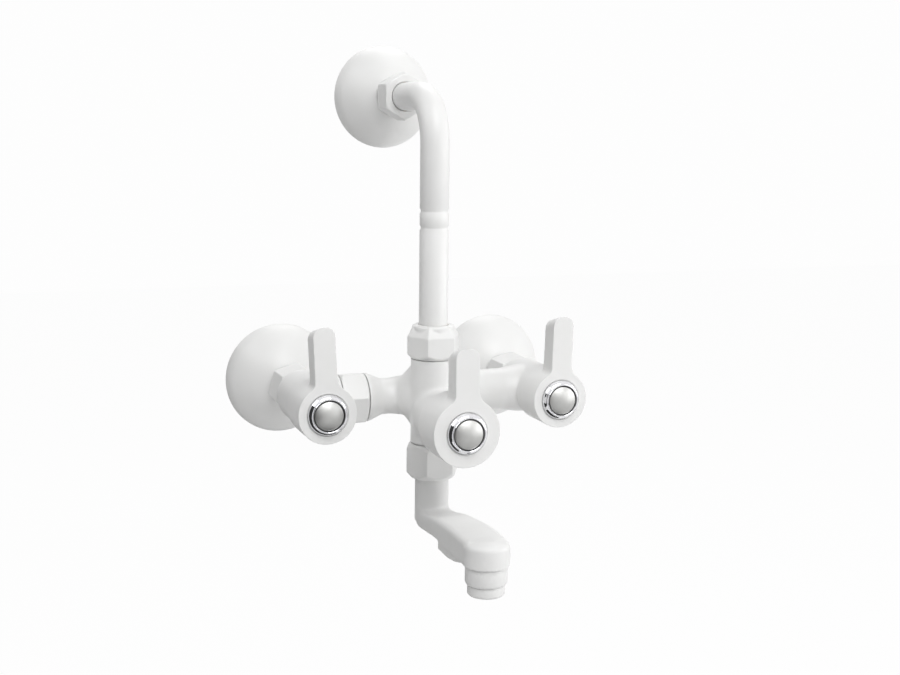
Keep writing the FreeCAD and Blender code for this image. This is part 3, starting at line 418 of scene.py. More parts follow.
def hex_nut(name, corner, low, high, low_cone, high_cone, bore, start, way, turn_degrees=0.0, lean=(0, 0),
            rim=None):
    """A nut: a six-sided bar, its ends turned to cones on a lathe, bored through, its edges softened by
    enamel. A cone is its radius at the end face and how far along the nut it reaches. A rim is the outline
    of a round ring cast on at the high end."""
    nut = six_sided(name, corner, low, high, start, way, turn_degrees, lean)
    wide = corner + PAST
    low_crown, low_reach = low_cone
    high_crown, high_reach = high_cone
    low_slope = low_reach / (corner - low_crown)
    high_slope = high_reach / (corner - high_crown)
    cones = turned_bar("cones", [
        (low_crown, low), (wide, low + low_slope * (wide - low_crown)),
        (wide, high - high_slope * (wide - high_crown)), (high_crown, high)], start, way)
    carved(nut, cones, "INTERSECT")
    if rim:
        carved(nut, turned_bar("rim", rim, start, way), "UNION")
    carved(nut, turned_bar("hole", bore, start, way))
    softened(nut, NUT_GRAIN, NUT_ROUNDS)
    return nut


NUT_BACK = 33.0
NUT_FRONT = 57.0
NUT_CORNER = 16.2
NUT_CHAMFER = 1.6
NUT_TURN = 15.0
LEG_HOLE = 10.58
NUT_THREAD = 13.0
NUT_LIP = 3.5
end_cone = (NUT_CORNER - NUT_CHAMFER, NUT_CHAMFER)
for side in ("left", "right"):
    node = f"{side}_inlet_nut"
    nut = hex_nut(f"{node}_hex", NUT_CORNER, NUT_BACK, NUT_FRONT, end_cone, end_cone, [
        (LEG_HOLE, NUT_BACK - PAST), (LEG_HOLE, NUT_BACK + NUT_LIP), (NUT_THREAD, NUT_BACK + NUT_LIP),
        (NUT_THREAD, NUT_FRONT + PAST)], start_at(node, "out"), "out", NUT_TURN)
    done(nut, white_enamel, "white_enamel", "fixed", node)

TOP_NUT_BACK = 30.6
TOP_NUT_FRONT = 49.0
TOP_NUT_CORNER = 15.2
TOP_NUT_TURN = 30.0
TOP_CHAMBER = 11.2
TOP_CHAMBER_BACK = 38.0
TOP_CHAMBER_FRONT = 44.0
PIPE_HOLE = 9.2
top_cone = (TOP_NUT_CORNER - NUT_CHAMFER, NUT_CHAMFER)
top_nut = hex_nut("top_nut_hex", TOP_NUT_CORNER, TOP_NUT_BACK, TOP_NUT_FRONT, top_cone, top_cone, [
    (LEG_HOLE, TOP_NUT_BACK - PAST), (LEG_HOLE, TOP_CHAMBER_BACK), (TOP_CHAMBER, TOP_CHAMBER_BACK),
    (TOP_CHAMBER, TOP_CHAMBER_FRONT), (PIPE_HOLE, TOP_CHAMBER_FRONT), (PIPE_HOLE, TOP_NUT_FRONT + PAST)],
    start_at("top_nut", "out"), "out", TOP_NUT_TURN)
done(top_nut, white_enamel, "white_enamel", "fixed", "top_nut")


# Left valve body.
# A brass casting, bored and threaded, then enamelled: a round housing for the cartridge with a branch that
# carries the union's tail. Its own tail at the back takes the inlet nut.
def trimmed(shape, point, outward):
    """Cuts the shape off flat at a point, as on a lathe, and closes the cut."""
    only(shape)
    bpy.ops.object.mode_set(mode="EDIT")
    bpy.ops.mesh.select_all(action="SELECT")
    bpy.ops.mesh.bisect(plane_co=point, plane_no=outward, use_fill=True, clear_outer=True)
    bpy.ops.object.mode_set(mode="OBJECT")


def joined(name, *shapes):
    """Several overlapping shapes made one object."""
    bpy.ops.object.select_all(action="DESELECT")
    for shape in shapes:
        shape.select_set(True)
    bpy.context.view_layer.objects.active = shapes[0]
    bpy.ops.object.join()
    shapes[0].name = name
    return shapes[0]


HOUSING_BACK = 57.3
HOUSING_FRONT = 94.5
HOUSING_NECK_END = 102.5
HOUSING_RADIUS_BACK = 15.4
HOUSING_RADIUS = 16.4
HOUSING_SWELL = 6.0
HOUSING_NECK_RADIUS = 14.4
HOUSING_TAIL_RADIUS = 12.9
HOUSING_TAIL_END = 42.5
CHAMBER_RADIUS = 11.1
SEAT_REACH = 74.0
SEAT_DEPTH = 6.0
WATER_BORE = 7.0
SEAT_BORE = 5.0
# What is cut off again, what a tail sinks into the metal that carries it, and what shows between two pieces.
SPARE = 6.0
OVERLAP = 2.0
SEAM = 0.3


def housing(name, start):
    """The round housing, longer at both ends than it will be once trimmed."""
    return turned_bar(name, [
        (HOUSING_RADIUS_BACK, HOUSING_BACK - SPARE), (HOUSING_RADIUS_BACK, HOUSING_BACK),
        (HOUSING_RADIUS, HOUSING_BACK + HOUSING_SWELL), (HOUSING_RADIUS, HOUSING_FRONT + SPARE)],
        start, "out")


def housing_ends(shape, start):
    """Joins on the tail behind the housing and the neck in front of it, and bores the waterway."""
    tail = rod("tail", HOUSING_TAIL_RADIUS, HOUSING_TAIL_END, HOUSING_BACK + OVERLAP, start, "out")
    carved(shape, tail, "UNION")
    neck = rod("neck", HOUSING_NECK_RADIUS, HOUSING_FRONT - OVERLAP, HOUSING_NECK_END, start, "out")
    carved(shape, neck, "UNION")
    carved(shape, turned_bar("waterway", [
        (WATER_BORE, HOUSING_TAIL_END - PAST), (WATER_BORE, SEAT_REACH - SEAT_DEPTH),
        (SEAT_BORE, SEAT_REACH - SEAT_DEPTH), (SEAT_BORE, SEAT_REACH), (CHAMBER_RADIUS, SEAT_REACH),
        (CHAMBER_RADIUS, HOUSING_NECK_END + PAST)], start, "out"))


ARM_REACH = 79.0
BRANCH_RADIUS = 15.2
BRANCH_END = -53.7
PORT_START = 9.0
PORT_ROOT = -61.7
BODY_GRAIN = 0.5
BODY_ROUNDS = 26
left_start = start_at("left_inlet_leg", "out")
left_x = left_start.x / MM
arm_height = Vector((0, -ARM_REACH * MM, 0))
left_body = joined("left_valve_body_casting", housing("housing", left_start),
                   rod("branch", BRANCH_RADIUS, left_x, BRANCH_END + SPARE, arm_height, "side"))
softened(left_body, BODY_GRAIN, BODY_ROUNDS)
trimmed(left_body, left_start + Vector((0, -(HOUSING_BACK + SEAM) * MM, 0)), (0, 1, 0))
trimmed(left_body, left_start + Vector((0, -HOUSING_FRONT * MM, 0)), (0, -1, 0))
trimmed(left_body, ((BRANCH_END - SEAM) * MM, 0, 0), (1, 0, 0))
housing_ends(left_body, left_start)
carved(left_body, turned_bar("port", [
    (WATER_BORE, left_x + PORT_START), (WATER_BORE, PORT_ROOT), (LEG_HOLE, PORT_ROOT),
    (LEG_HOLE, BRANCH_END + PAST)], arm_height, "side"))
done(left_body, white_enamel, "white_enamel", "fixed", "left_valve_body")


# Union between the left valve body and the left arm.
# A brass tail screwed into the valve body, and a hexagonal nut that draws it against the arm's washer.
# The nut is enamelled as the rest.
BRASS_LIGHT = (0.72, 0.58, 0.32)
BRASS_DARK = (0.58, 0.44, 0.22)
BRASS_ROUGHNESS = (0.25, 0.40)
BRASS_TONE_SIZE = 5.0
TOOL_MARKS = 900.0
TOOL_MARK_DEPTH = 0.01
brass, tree, skin, place = finish("brass")
turning = tree.node("ShaderNodeTexWave", {"bands_direction": "Y"}, {
    "Vector": place, "Scale": TOOL_MARKS, "Distortion": 1.5, "Detail": 2.0})
tree.feed(skin["Base Color"], tinted(tree, noise(tree, place, BRASS_TONE_SIZE), BRASS_LIGHT, BRASS_DARK))
tree.feed(skin["Metallic"], 1.0)
tree.feed(skin["Roughness"], spread(turning, BRASS_ROUGHNESS))
tree.feed(skin["Normal"], bump(tree, turning, TOOL_MARK_DEPTH))
dress(brass, "union_tail", "top_ferrule", "left_spindle", "left_bonnet", "right_spindle",
      "right_bonnet", "centre_spindle", "centre_bonnet")

UNION_CORNER = 17.4
UNION_CROWN = 15.2
UNION_TURN = 21.0
UNION_NUT_START = -53.4
UNION_NUT_END = -37.1
UNION_LEDGE = -49.9
union_cone = (UNION_CROWN, NUT_CHAMFER)
union_nut = hex_nut("union_nut_hex", UNION_CORNER, UNION_NUT_START, UNION_NUT_END, union_cone, union_cone, [
    (LEG_HOLE, UNION_NUT_START - PAST), (LEG_HOLE, UNION_LEDGE), (NUT_THREAD, UNION_LEDGE),
    (NUT_THREAD, UNION_NUT_END + PAST)], arm_height, "side", UNION_TURN)
done(union_nut, white_enamel, "white_enamel", "fixed", "union_nut")


# Mixer body.
# One brass casting, enamelled: the left arm with its lip, the right arm with the right valve housing, the
# diverter barrel towards the front, and the column with a threaded tail above and below.
ARM_FACE = -36.8
ARM_COLLAR_END = -45.5
LIP_RADIUS = 15.2
LIP_WIDTH = 2.0
WAIST_RADIUS = 11.4
WAIST_START = -26.0
WAIST_END = -20.0
FLARE_RADIUS = 12.6
FLARE_START = -12.0
FLARE_END = 1.0
RIGHT_ROOT_RADIUS = 13.4
RIGHT_ROOT_END = 55.4
RIGHT_END_RADIUS = 15.3
RIGHT_END_START = 66.9
COLUMN_RADIUS = 13.6
COLUMN_TOP = 27.5
COLUMN_BOTTOM = -25.0
COLUMN_TAIL = 12.5
COLUMN_TAIL_RADIUS = 12.4
SOCKET_RADIUS = 10.1
SOCKET_TOP = -18.6
BARREL_RADIUS = 16.4
BARREL_END = 136.5
BARREL_NECK_END = 144.5
BARREL_PORT = 100.0
BARREL_SEAT = 116.0
BARREL_ROOT = [(8.5, 84.0), (8.5, 97.0), (13.0, 103.0), (BARREL_RADIUS, 112.0)]
# The round heart of the casting, where its waterways meet: radius and height.
CORE_REACH = 92.0
CORE = [(8.5, -20.0), (9.6, -17.0), (11.8, -13.5), (14.2, -10.3), (16.4, -7.2), (18.2, -3.5), (18.7, 4.0),
        (18.2, 9.0), (16.6, 12.2), (14.6, 15.0), (12.2, 17.6), (9.8, 20.2), (8.4, 23.0)]
MIXER_GRAIN = 0.6
MIXER_ROUNDS = 30
right_start = start_at("right_inlet_leg", "out")
right_x = right_start.x / MM
centre_start = start_at("centre_spindle", "out")
riser = start_at("upper_washer", "up")
mixer = joined(
    "mixer_body_casting",
    turned_bar("left_arm", [
        (LIP_RADIUS, ARM_FACE - SPARE), (LIP_RADIUS, ARM_FACE + LIP_WIDTH), (WAIST_RADIUS, WAIST_START),
        (WAIST_RADIUS, WAIST_END), (FLARE_RADIUS, FLARE_START), (FLARE_RADIUS, FLARE_END)],
        arm_height, "side"),
    turned_bar("right_arm", [
        (RIGHT_ROOT_RADIUS, 0.0), (RIGHT_ROOT_RADIUS, RIGHT_ROOT_END),
        (RIGHT_END_RADIUS, RIGHT_END_START), (RIGHT_END_RADIUS, right_x)], arm_height, "side"),
    housing("right_housing", right_start),
    rod("column", COLUMN_RADIUS, COLUMN_BOTTOM - SPARE, COLUMN_TOP + SPARE, riser, "up"),
    turned_bar("core", CORE, Vector((0, -CORE_REACH * MM, 0)), "up"),
    turned_bar("barrel", [*BARREL_ROOT, (BARREL_RADIUS, BARREL_END + SPARE)], centre_start, "out"))
softened(mixer, MIXER_GRAIN, MIXER_ROUNDS)

CROSSING_ROUNDS = 130
CROSSING_HEIGHT = 24.0
CROSSING_WIDTH = 27.0
CROSSING_FRONT = 130.0
HEIGHT_FADE = 6.0
WIDTH_FADE = 8.0
FRONT_FADE = 10.0


def at_the_crossing(point):
    """1 where the arms, the column and the barrel meet, fading to 0 along each of them."""
    return min((CROSSING_HEIGHT - abs(point.z)) / HEIGHT_FADE, (CROSSING_WIDTH - abs(point.x)) / WIDTH_FADE,
               (point.y + CROSSING_FRONT) / FRONT_FADE, 1.0)


flowing(mixer, CROSSING_ROUNDS, at_the_crossing)
trimmed(mixer, ((ARM_FACE + SEAM) * MM, 0, 0), (-1, 0, 0))
trimmed(mixer, right_start + Vector((0, -(HOUSING_BACK + SEAM) * MM, 0)), (0, 1, 0))
trimmed(mixer, (0, 0, (COLUMN_TOP - SEAM) * MM), (0, 0, 1))
trimmed(mixer, (0, 0, (COLUMN_BOTTOM + SEAM) * MM), (0, 0, -1))
trimmed(mixer, (0, -BARREL_END * MM, 0), (0, -1, 0))
# The right housing is faced off by itself, because a flat cut across the casting would take the barrel too.
FACING_RADIUS = 22.0
carved(mixer, rod("front_cut", FACING_RADIUS, HOUSING_FRONT, HOUSING_NECK_END + PAST, right_start, "out"))
housing_ends(mixer, right_start)
column_tail_end = COLUMN_BOTTOM - COLUMN_TAIL
for tail in (
        ("collar", HOUSING_TAIL_RADIUS, ARM_COLLAR_END, ARM_FACE + OVERLAP, arm_height, "side"),
        ("upper_tail", COLUMN_TAIL_RADIUS, COLUMN_TOP - OVERLAP, COLUMN_TOP + COLUMN_TAIL, riser, "up"),
        ("lower_tail", COLUMN_TAIL_RADIUS, column_tail_end, COLUMN_BOTTOM + OVERLAP, riser, "up"),
        ("barrel_neck", HOUSING_NECK_RADIUS, BARREL_END - OVERLAP, BARREL_NECK_END, centre_start, "out")):
    carved(mixer, rod(*tail), "UNION")
for name, bore, begin, way in (
        ("arm_waterway", [(WATER_BORE, ARM_COLLAR_END - PAST), (WATER_BORE, right_x)], arm_height, "side"),
        ("column_waterway", [
            (SOCKET_RADIUS, column_tail_end - PAST), (SOCKET_RADIUS, SOCKET_TOP),
            (WATER_BORE, SOCKET_TOP), (WATER_BORE, COLUMN_TOP + COLUMN_TAIL + PAST)], riser, "up"),
        ("barrel_chamber", [
            (WATER_BORE, BARREL_PORT), (WATER_BORE, BARREL_SEAT), (CHAMBER_RADIUS, BARREL_SEAT),
            (CHAMBER_RADIUS, BARREL_NECK_END + PAST)], centre_start, "out")):
    carved(mixer, turned_bar(name, bore, begin, way))
done(mixer, white_enamel, "white_enamel", "fixed", "mixer_body")


# Bend pipe.
# A drawn brass tube, bent to a quarter turn and enamelled, with two grooves rolled round it. Ferrules and
# nuts hold it on the column and on the top leg.
PIPE_RADIUS = 8.9
PIPE_WALL = 1.6
PIPE_BEND = 28.0
PIPE_FOOT = 42.0
PIPE_END = 40.0
GROOVES = (107.5, 117.5)
GROOVE_DEPTH = 0.6
GROOVE_HALF = 1.7
rise_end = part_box("bend_pipe")[1].z / MM - PIPE_RADIUS - PIPE_BEND
profile = [(PIPE_RADIUS, PIPE_FOOT)]
for level in GROOVES:
    profile += [(PIPE_RADIUS, level - GROOVE_HALF), (PIPE_RADIUS - GROOVE_DEPTH, level - GROOVE_HALF / 3),
                (PIPE_RADIUS - GROOVE_DEPTH, level + GROOVE_HALF / 3), (PIPE_RADIUS, level + GROOVE_HALF)]
profile.append((PIPE_RADIUS, rise_end))
pipe = drawn("bend_pipe_tube", profile, riser, "up", sides=64)
bend_centre = riser + Vector((0, PIPE_BEND * MM, rise_end * MM))
bpy.ops.mesh.spin(steps=24, angle=math.pi / 2, center=bend_centre, axis=(1, 0, 0))
run = -PIPE_END * MM - (riser.y + PIPE_BEND * MM)
bpy.ops.mesh.extrude_region_move(TRANSFORM_OT_translate={"value": (0, run, 0)})
settled(pipe)
worked_by(pipe, "SOLIDIFY", thickness=PIPE_WALL * MM, offset=-1.0)
done(pipe, white_enamel, "white_enamel", "fixed", "bend_pipe")


# Nuts on the column.
# The upper one holds the bend pipe's foot down on the column, and its sides lean in to a round rim. The
# lower one carries the spout by a split ring over a slippery washer. Both are enamelled brass.
COLUMN_NUT_CORNER = 16.8
COLUMN_THREAD = 12.5
BASE_CONE = (13.6, 3.2)
RIM_CONE = (12.2, 1.3)
TUBE_CONE = (13.2, 4.1)
LEAN = (3.6, 6.9)
RIM = [(13.0, 43.5), (13.0, 47.3), (12.5, 48.0), (11.7, 48.4)]
UPPER_NUT_BOTTOM = 27.8
UPPER_NUT_TOP = 48.3
UPPER_NUT_LEDGE = 46.1
UPPER_BORE_END = 50.5
FERRULE_ROOM = 10.95
FERRULE_TOP = 47.5
FERRULE_PLAY = 0.2
upper_nut = hex_nut(
    "upper_nut_hex", COLUMN_NUT_CORNER, UPPER_NUT_BOTTOM, UPPER_NUT_TOP, BASE_CONE, RIM_CONE, [
        (COLUMN_THREAD, UPPER_NUT_BOTTOM - PAST), (COLUMN_THREAD, UPPER_NUT_LEDGE),
        (FERRULE_ROOM, UPPER_NUT_LEDGE), (FERRULE_ROOM, FERRULE_TOP + FERRULE_PLAY),
        (PIPE_HOLE, FERRULE_TOP + FERRULE_PLAY), (PIPE_HOLE, UPPER_BORE_END)],
    riser, "up", lean=LEAN, rim=RIM)
done(upper_nut, white_enamel, "white_enamel", "fixed", "upper_nut")

FERRULE_GAP = 0.03
FERRULE_FOOT = 0.1
FERRULE_SHOULDER = 46.0
FERRULE_RADIUS = 11.9
FERRULE_NECK = 10.8
FERRULE_EDGE = 0.2
ferrule_bore = PIPE_RADIUS + FERRULE_GAP
ferrule_bottom = PIPE_FOOT + FERRULE_FOOT
ferrule = turned("upper_ferrule_ring", [
    (ferrule_bore, ferrule_bottom), (FERRULE_RADIUS, ferrule_bottom), (FERRULE_RADIUS, FERRULE_SHOULDER),
    (FERRULE_NECK, FERRULE_SHOULDER), (FERRULE_NECK, FERRULE_TOP), (ferrule_bore, FERRULE_TOP)], riser, "up")
eased(ferrule, FERRULE_EDGE)
done(ferrule, brass, "brass", "fixed", "upper_ferrule")

TUBE_HOLE = 11.2
RING_BOTTOM = -41.3
LOWER_NUT_BOTTOM = -47.2
LOWER_NUT_TOP = -25.3
lower_nut = hex_nut(
    "lower_nut_hex", COLUMN_NUT_CORNER, LOWER_NUT_BOTTOM, LOWER_NUT_TOP, TUBE_CONE, BASE_CONE, [
        (TUBE_HOLE, LOWER_NUT_BOTTOM - PAST), (TUBE_HOLE, RING_BOTTOM), (COLUMN_THREAD, RING_BOTTOM),
        (COLUMN_THREAD, LOWER_NUT_TOP + PAST)], riser, "up")
done(lower_nut, white_enamel, "white_enamel", "fixed", "lower_nut")

PLASTIC = (0.78, 0.78, 0.75)
PLASTIC_WORN = (0.70, 0.70, 0.67)
PLASTIC_ROUGHNESS = (0.45, 0.60)
FLOW_SIZE = 3.0
PLASTIC_GRAIN = 0.5
PLASTIC_DEPTH = 0.01
slip_plastic, tree, skin, place = finish("slip_plastic")
flow = noise(tree, place, FLOW_SIZE)
tree.feed(skin["Base Color"], tinted(tree, flow, PLASTIC, PLASTIC_WORN))
tree.feed(skin["Roughness"], spread(flow, PLASTIC_ROUGHNESS))
tree.feed(skin["Normal"], bump(tree, noise(tree, place, PLASTIC_GRAIN), PLASTIC_DEPTH))
dress(slip_plastic, "glide_washer", "spout_split_ring", "aerator_insert")


# Spout.
# A brass casting, enamelled: a stem that turns in the column's socket, a tube, and an arm that widens and
# thickens to a round head. Under the arm a boss closes the core's opening.
TUBE_RADIUS = 10.6
TUBE_TOP = -41.6
TUBE_ROUNDING = 3.2
ARM_BOTTOM = -77.0
ARM_ROUNDING = 2.2
HEAD_RADIUS = 13.4
HEAD_BOTTOM = -74.8
HEAD_TOP = -61.4
HEAD_ROUNDING = 3.2
CROWN = [(5.0, -60.5), (0.1, -60.4)]
SPOUT_GRAIN = 0.45
outlet = start_at("aerator_shell", "up")
outlet_arm = (riser.y - outlet.y) / MM
# Stations: how far ahead of the riser, half the width, the underside and the top.
ARM_STATIONS = [
    (0.0, 10.0, -76.8, -66.8), (5.0, 10.5, -77.4, -66.8), (12.0, 10.7, -77.1, -66.4),
    (22.6, 10.8, -76.2, -65.2), (31.0, 11.1, -75.4, -63.5), (39.0, 11.5, -74.8, -62.3),
    (55.0, 12.3, -74.8, -61.0), (65.0, 12.9, -74.8, -60.3), (75.0, 13.1, -74.8, -60.0),
    (84.0, 13.1, -74.8, -60.3), (outlet_arm, 12.8, -74.8, -60.6)]
BOSS_STATIONS = [
    (43.8, 11.5, -78.8, -70.0), (45.2, 11.9, -79.5, -70.0), (62.0, 12.5, -79.4, -70.0),
    (67.0, 12.3, -79.1, -70.0), (71.5, 11.6, -78.9, -70.0), (75.5, 10.2, -78.5, -70.0),
    (78.5, 8.2, -77.9, -70.0), (80.0, 6.4, -77.4, -70.0)]


def loft(name, stations, rounded=0.0):
    """A bar drawn out forwards from the riser, station by station. Rounded is the radius of its two upper
    edges."""
    bpy.ops.object.select_all(action="DESELECT")
    ahead, half, low, high = stations[0]
    bpy.ops.mesh.primitive_plane_add(size=1.0, rotation=(math.pi / 2, 0, 0),
                                     location=(riser.x, riser.y - ahead * MM, (low + high) / 2 * MM))
    shape = bpy.context.object
    shape.name = name
    bpy.ops.object.mode_set(mode="EDIT")
    bpy.ops.transform.resize(value=(half * 2 * MM, 1, (high - low) * MM))
    if rounded:
        bpy.ops.mesh.select_mode(type="VERT")
        bpy.ops.mesh.select_all(action="DESELECT")
        section = bmesh.from_edit_mesh(shape.data)
        for corner in section.verts:
            corner.select_set(corner.co.y > 0)
        bmesh.update_edit_mesh(shape.data)
        bpy.ops.mesh.bevel(affect="VERTICES", offset=rounded * MM, segments=5)
        bpy.ops.mesh.select_all(action="SELECT")
    for next_ahead, next_half, next_low, next_high in stations[1:]:
        bpy.ops.mesh.extrude_region_move(TRANSFORM_OT_translate={
            "value": (0, (ahead - next_ahead) * MM, (next_low + next_high - low - high) / 2 * MM)})
        bpy.ops.transform.resize(value=(next_half / half, 1, (next_high - next_low) / (high - low)))
        ahead, half, low, high = next_ahead, next_half, next_low, next_high
    return settled(shape)


tube_foot = (TUBE_RADIUS - TUBE_ROUNDING, ARM_BOTTOM)
tube_side = (TUBE_RADIUS, ARM_BOTTOM + TUBE_ROUNDING)
head_side = (HEAD_RADIUS, HEAD_TOP - HEAD_ROUNDING)
head_rim = (HEAD_RADIUS - HEAD_ROUNDING, HEAD_TOP)
spout = joined(
    "spout_casting",
    turned_bar("tube", [
        tube_foot, *arc(tube_foot, tube_side, TUBE_ROUNDING, 1, 6), tube_side, (TUBE_RADIUS, TUBE_TOP)],
        riser, "up"),
    loft("arm", ARM_STATIONS, ARM_ROUNDING),
    turned_bar("head", [
        (HEAD_RADIUS, HEAD_BOTTOM), head_side, *arc(head_side, head_rim, HEAD_ROUNDING, 1, 6), head_rim,
        *CROWN], outlet, "up"),
    loft("boss", BOSS_STATIONS))
worked_by(spout, "REMESH", mode="VOXEL", voxel_size=SPOUT_GRAIN * MM)

SPOUT_ROUNDS = 120
HEAD_EDGE = 1.5
FOOT_LEVEL = -72.0
FOOT_REACH = 22.0
UPPER_HALF = -68.0
UPPER_FLOW = 0.2
LOWER_FLOW = 0.06


def above_the_arm(point):
    """1 on the tube's foot and the arm's upper half, less below, and 0 at the head's lower edge."""
    beside_head = (outlet - point * MM).xy.length < (HEAD_RADIUS + HEAD_EDGE) * MM
    if beside_head and point.z < HEAD_BOTTOM + HEAD_EDGE:
        return 0.0
    if point.z > FOOT_LEVEL and point.y > riser.y / MM - FOOT_REACH:
        return 1.0
    return UPPER_FLOW if point.z > UPPER_HALF else LOWER_FLOW


flowing(spout, SPOUT_ROUNDS, above_the_arm)
STEM_RADIUS = 9.9
STEM_FOOT = -44.0
STEM_TOP = -18.9
SPLIT_RING_TOP = -38.7
SPLIT_RING_GROOVE = 8.9
O_RING_LEVELS = (-29.9, -22.9)
O_RING_GROOVE = 8.4
O_RING_HALF = 0.9
TUBE_BORE = 7.6
STEM_BORE = 6.9
BORE_BOTTOM = -72.5
BORE_STEP = -44.6
OUTLET_BORE = 9.4
OUTLET_BORE_BOTTOM = -80.0
OUTLET_BORE_TOP = -66.5
stem = [(STEM_RADIUS, STEM_FOOT), (STEM_RADIUS, RING_BOTTOM), (SPLIT_RING_GROOVE, RING_BOTTOM),
        (SPLIT_RING_GROOVE, SPLIT_RING_TOP), (STEM_RADIUS, SPLIT_RING_TOP)]
for level in O_RING_LEVELS:
    stem += [(STEM_RADIUS, level - O_RING_HALF), (O_RING_GROOVE, level - O_RING_HALF),
             (O_RING_GROOVE, level + O_RING_HALF), (STEM_RADIUS, level + O_RING_HALF)]
stem.append((STEM_RADIUS, STEM_TOP))
carved(spout, turned_bar("stem", stem, riser, "up"), "UNION")
carved(spout, turned_bar("tube_bore", [
    (TUBE_BORE, BORE_BOTTOM), (TUBE_BORE, BORE_STEP), (STEM_BORE, TUBE_TOP), (STEM_BORE, STEM_TOP + PAST)],
    riser, "up"))
carved(spout, rod("outlet_bore", OUTLET_BORE, OUTLET_BORE_BOTTOM, OUTLET_BORE_TOP, outlet, "up"))
done(spout, white_enamel, "white_enamel", "spout_set", "spout")


# Outlet.
# An enamelled brass collar screwed into the head, and under it the aerator's shell, which holds its insert
# and washer.
OUTLET_EDGE = 0.5
COLLAR_OUTLINE = [(7.9, -85.8), (11.5, -85.8), (12.1, -84.2), (12.1, -75.0), (9.3, -75.0), (9.3, -67.8),
                  (7.9, -67.8)]
SHELL_OUTLINE = [(7.9, -92.4), (9.7, -92.4), (10.7, -91.4), (10.7, -86.0), (7.8, -86.0), (7.8, -80.8),
                 (6.5, -80.8), (6.5, -91.0), (7.9, -91.0)]
for node, outline in (("outlet_collar", COLLAR_OUTLINE), ("aerator_shell", SHELL_OUTLINE)):
    ring = turned(f"{node}_ring", outline, outlet, "up")
    eased(ring, OUTLET_EDGE)
    done(ring, white_enamel, "white_enamel", "spout_set", node)


# Valve discs.
# Pairs of lapped ceramic discs with two ports each. The rear one stands still, the front one turns with the
# spindle.
CERAMIC = (0.92, 0.92, 0.90)
CERAMIC_SHADE = (0.86, 0.86, 0.84)
CERAMIC_ROUGHNESS = (0.12, 0.20)
CERAMIC_TONE_SIZE = 2.5
valve_disc, tree, skin, place = finish("valve_disc")
body_tone = noise(tree, place, CERAMIC_TONE_SIZE)
tree.feed(skin["Base Color"], tinted(tree, body_tone, CERAMIC, CERAMIC_SHADE))
tree.feed(skin["Roughness"], spread(body_tone, CERAMIC_ROUGHNESS))
for side in ("left", "right", "centre"):
    dress(valve_disc, f"{side}_fixed_disc", f"{side}_moving_disc")


# Handles.
# Enamelled brass castings: a round cup that covers the valve's neck, and a flat lever that stands up from it
# with its face flush. A hub inside fits the spindle's tip, and a fine groove in the face takes the ring.
def outlined(name, points, front, depth, start, slant_above, slant):
    """A slab: a point drawn round an outline (across, up), filled, and given its depth into the wall. Its
    back is lower by the slant above this height."""
    bpy.ops.object.select_all(action="DESELECT")
    bpy.ops.mesh.primitive_plane_add(size=MM, location=start)
    shape = bpy.context.object
    shape.name = name
    bpy.ops.object.mode_set(mode="EDIT")
    bpy.ops.mesh.select_mode(type="VERT")
    bpy.ops.mesh.merge(type="CENTER")
    here = Vector((0, 0, 0))
    for index, (across, rise) in enumerate([*points, points[0]]):
        there = Vector((across, -front, rise)) * MM
        if index:
            bpy.ops.mesh.extrude_region_move(TRANSFORM_OT_translate={"value": there - here})
        else:
            bpy.ops.transform.translate(value=there)
        here = there
    bpy.ops.mesh.select_all(action="SELECT")
    bpy.ops.mesh.remove_doubles(threshold=TOUCHING)
    bpy.ops.mesh.edge_face_add()
    bpy.ops.mesh.extrude_region_move(TRANSFORM_OT_translate={"value": (0, depth * MM, 0)})
    slab = bmesh.from_edit_mesh(shape.data)
    for point in slab.verts:
        point.select_set(point.select and point.co.z > slant_above * MM)
    slab.select_flush_mode()
    bpy.ops.transform.translate(value=(0, 0, -slant * MM))
    return settled(shape)


def rounding(centre_across, centre_up, radius, first_degrees, last_degrees, count):
    """Points along a round corner."""
    points = []
    for step in range(count + 1):
        angle = math.radians(first_degrees + (last_degrees - first_degrees) * step / count)
        points.append((centre_across + radius * math.cos(angle), centre_up + radius * math.sin(angle)))
    return points


CUP_DEPTH = 27.4
CUP_FACE = 6.4
CUP_WALL = 2.0
HUB_RADIUS = 6.6
HUB_LENGTH = 10.4
STEM_ROOM = 6.9
SPINDLE_HOLE = 4.1
TIP_HOLE = 3.7
TIP_LENGTH = 5.0
SCREW_HOLE = 2.0
RECESS_RADIUS = 10.2
RECESS_DEPTH = 3.2
RECESS_FLOOR = 1.0
RING_GROOVE_RADIUS = 12.2
RING_GROOVE_WIDTH = 0.6
RING_GROOVE_DEPTH = 0.8
LEVER_DEPTH = 13.0
LEVER_CORNER = 5.6
LEVER_SLANT = 3.2
SLANT_START = 1.0
TIGHT_FILLET = 5.0
WIDE_FILLET = 9.5
HANDLE_GRAIN = 0.4
HANDLE_ROUNDS = 6


def lever_outline(cup, width, length, lean_degrees):
    """The lever seen from the front: round fillets where it rises from the cup, and a rounded end. It is
    turned about the cup's centre by the lean."""
    half = width / 2
    outline = []
    for sign, fillet in ((1, WIDE_FILLET), (-1, TIGHT_FILLET)):
        middle_across = half + fillet
        middle_up = math.sqrt((cup + fillet) ** 2 - middle_across ** 2)
        foot = math.degrees(math.atan2(-middle_up, -middle_across)) % 360
        curve = rounding(middle_across, middle_up, fillet, foot, 180.0, 8)
        corner = rounding(half - LEVER_CORNER, length - LEVER_CORNER, LEVER_CORNER, 0.0, 90.0, 8)
        points = [(sign * across, rise) for across, rise in curve + corner]
        outline += points if sign > 0 else points[::-1]
    outline.append((0.0, 0.0))
    cosine = math.cos(math.radians(-lean_degrees))
    sine = math.sin(math.radians(-lean_degrees))
    return [(across * cosine + rise * sine, rise * cosine - across * sine) for across, rise in outline]


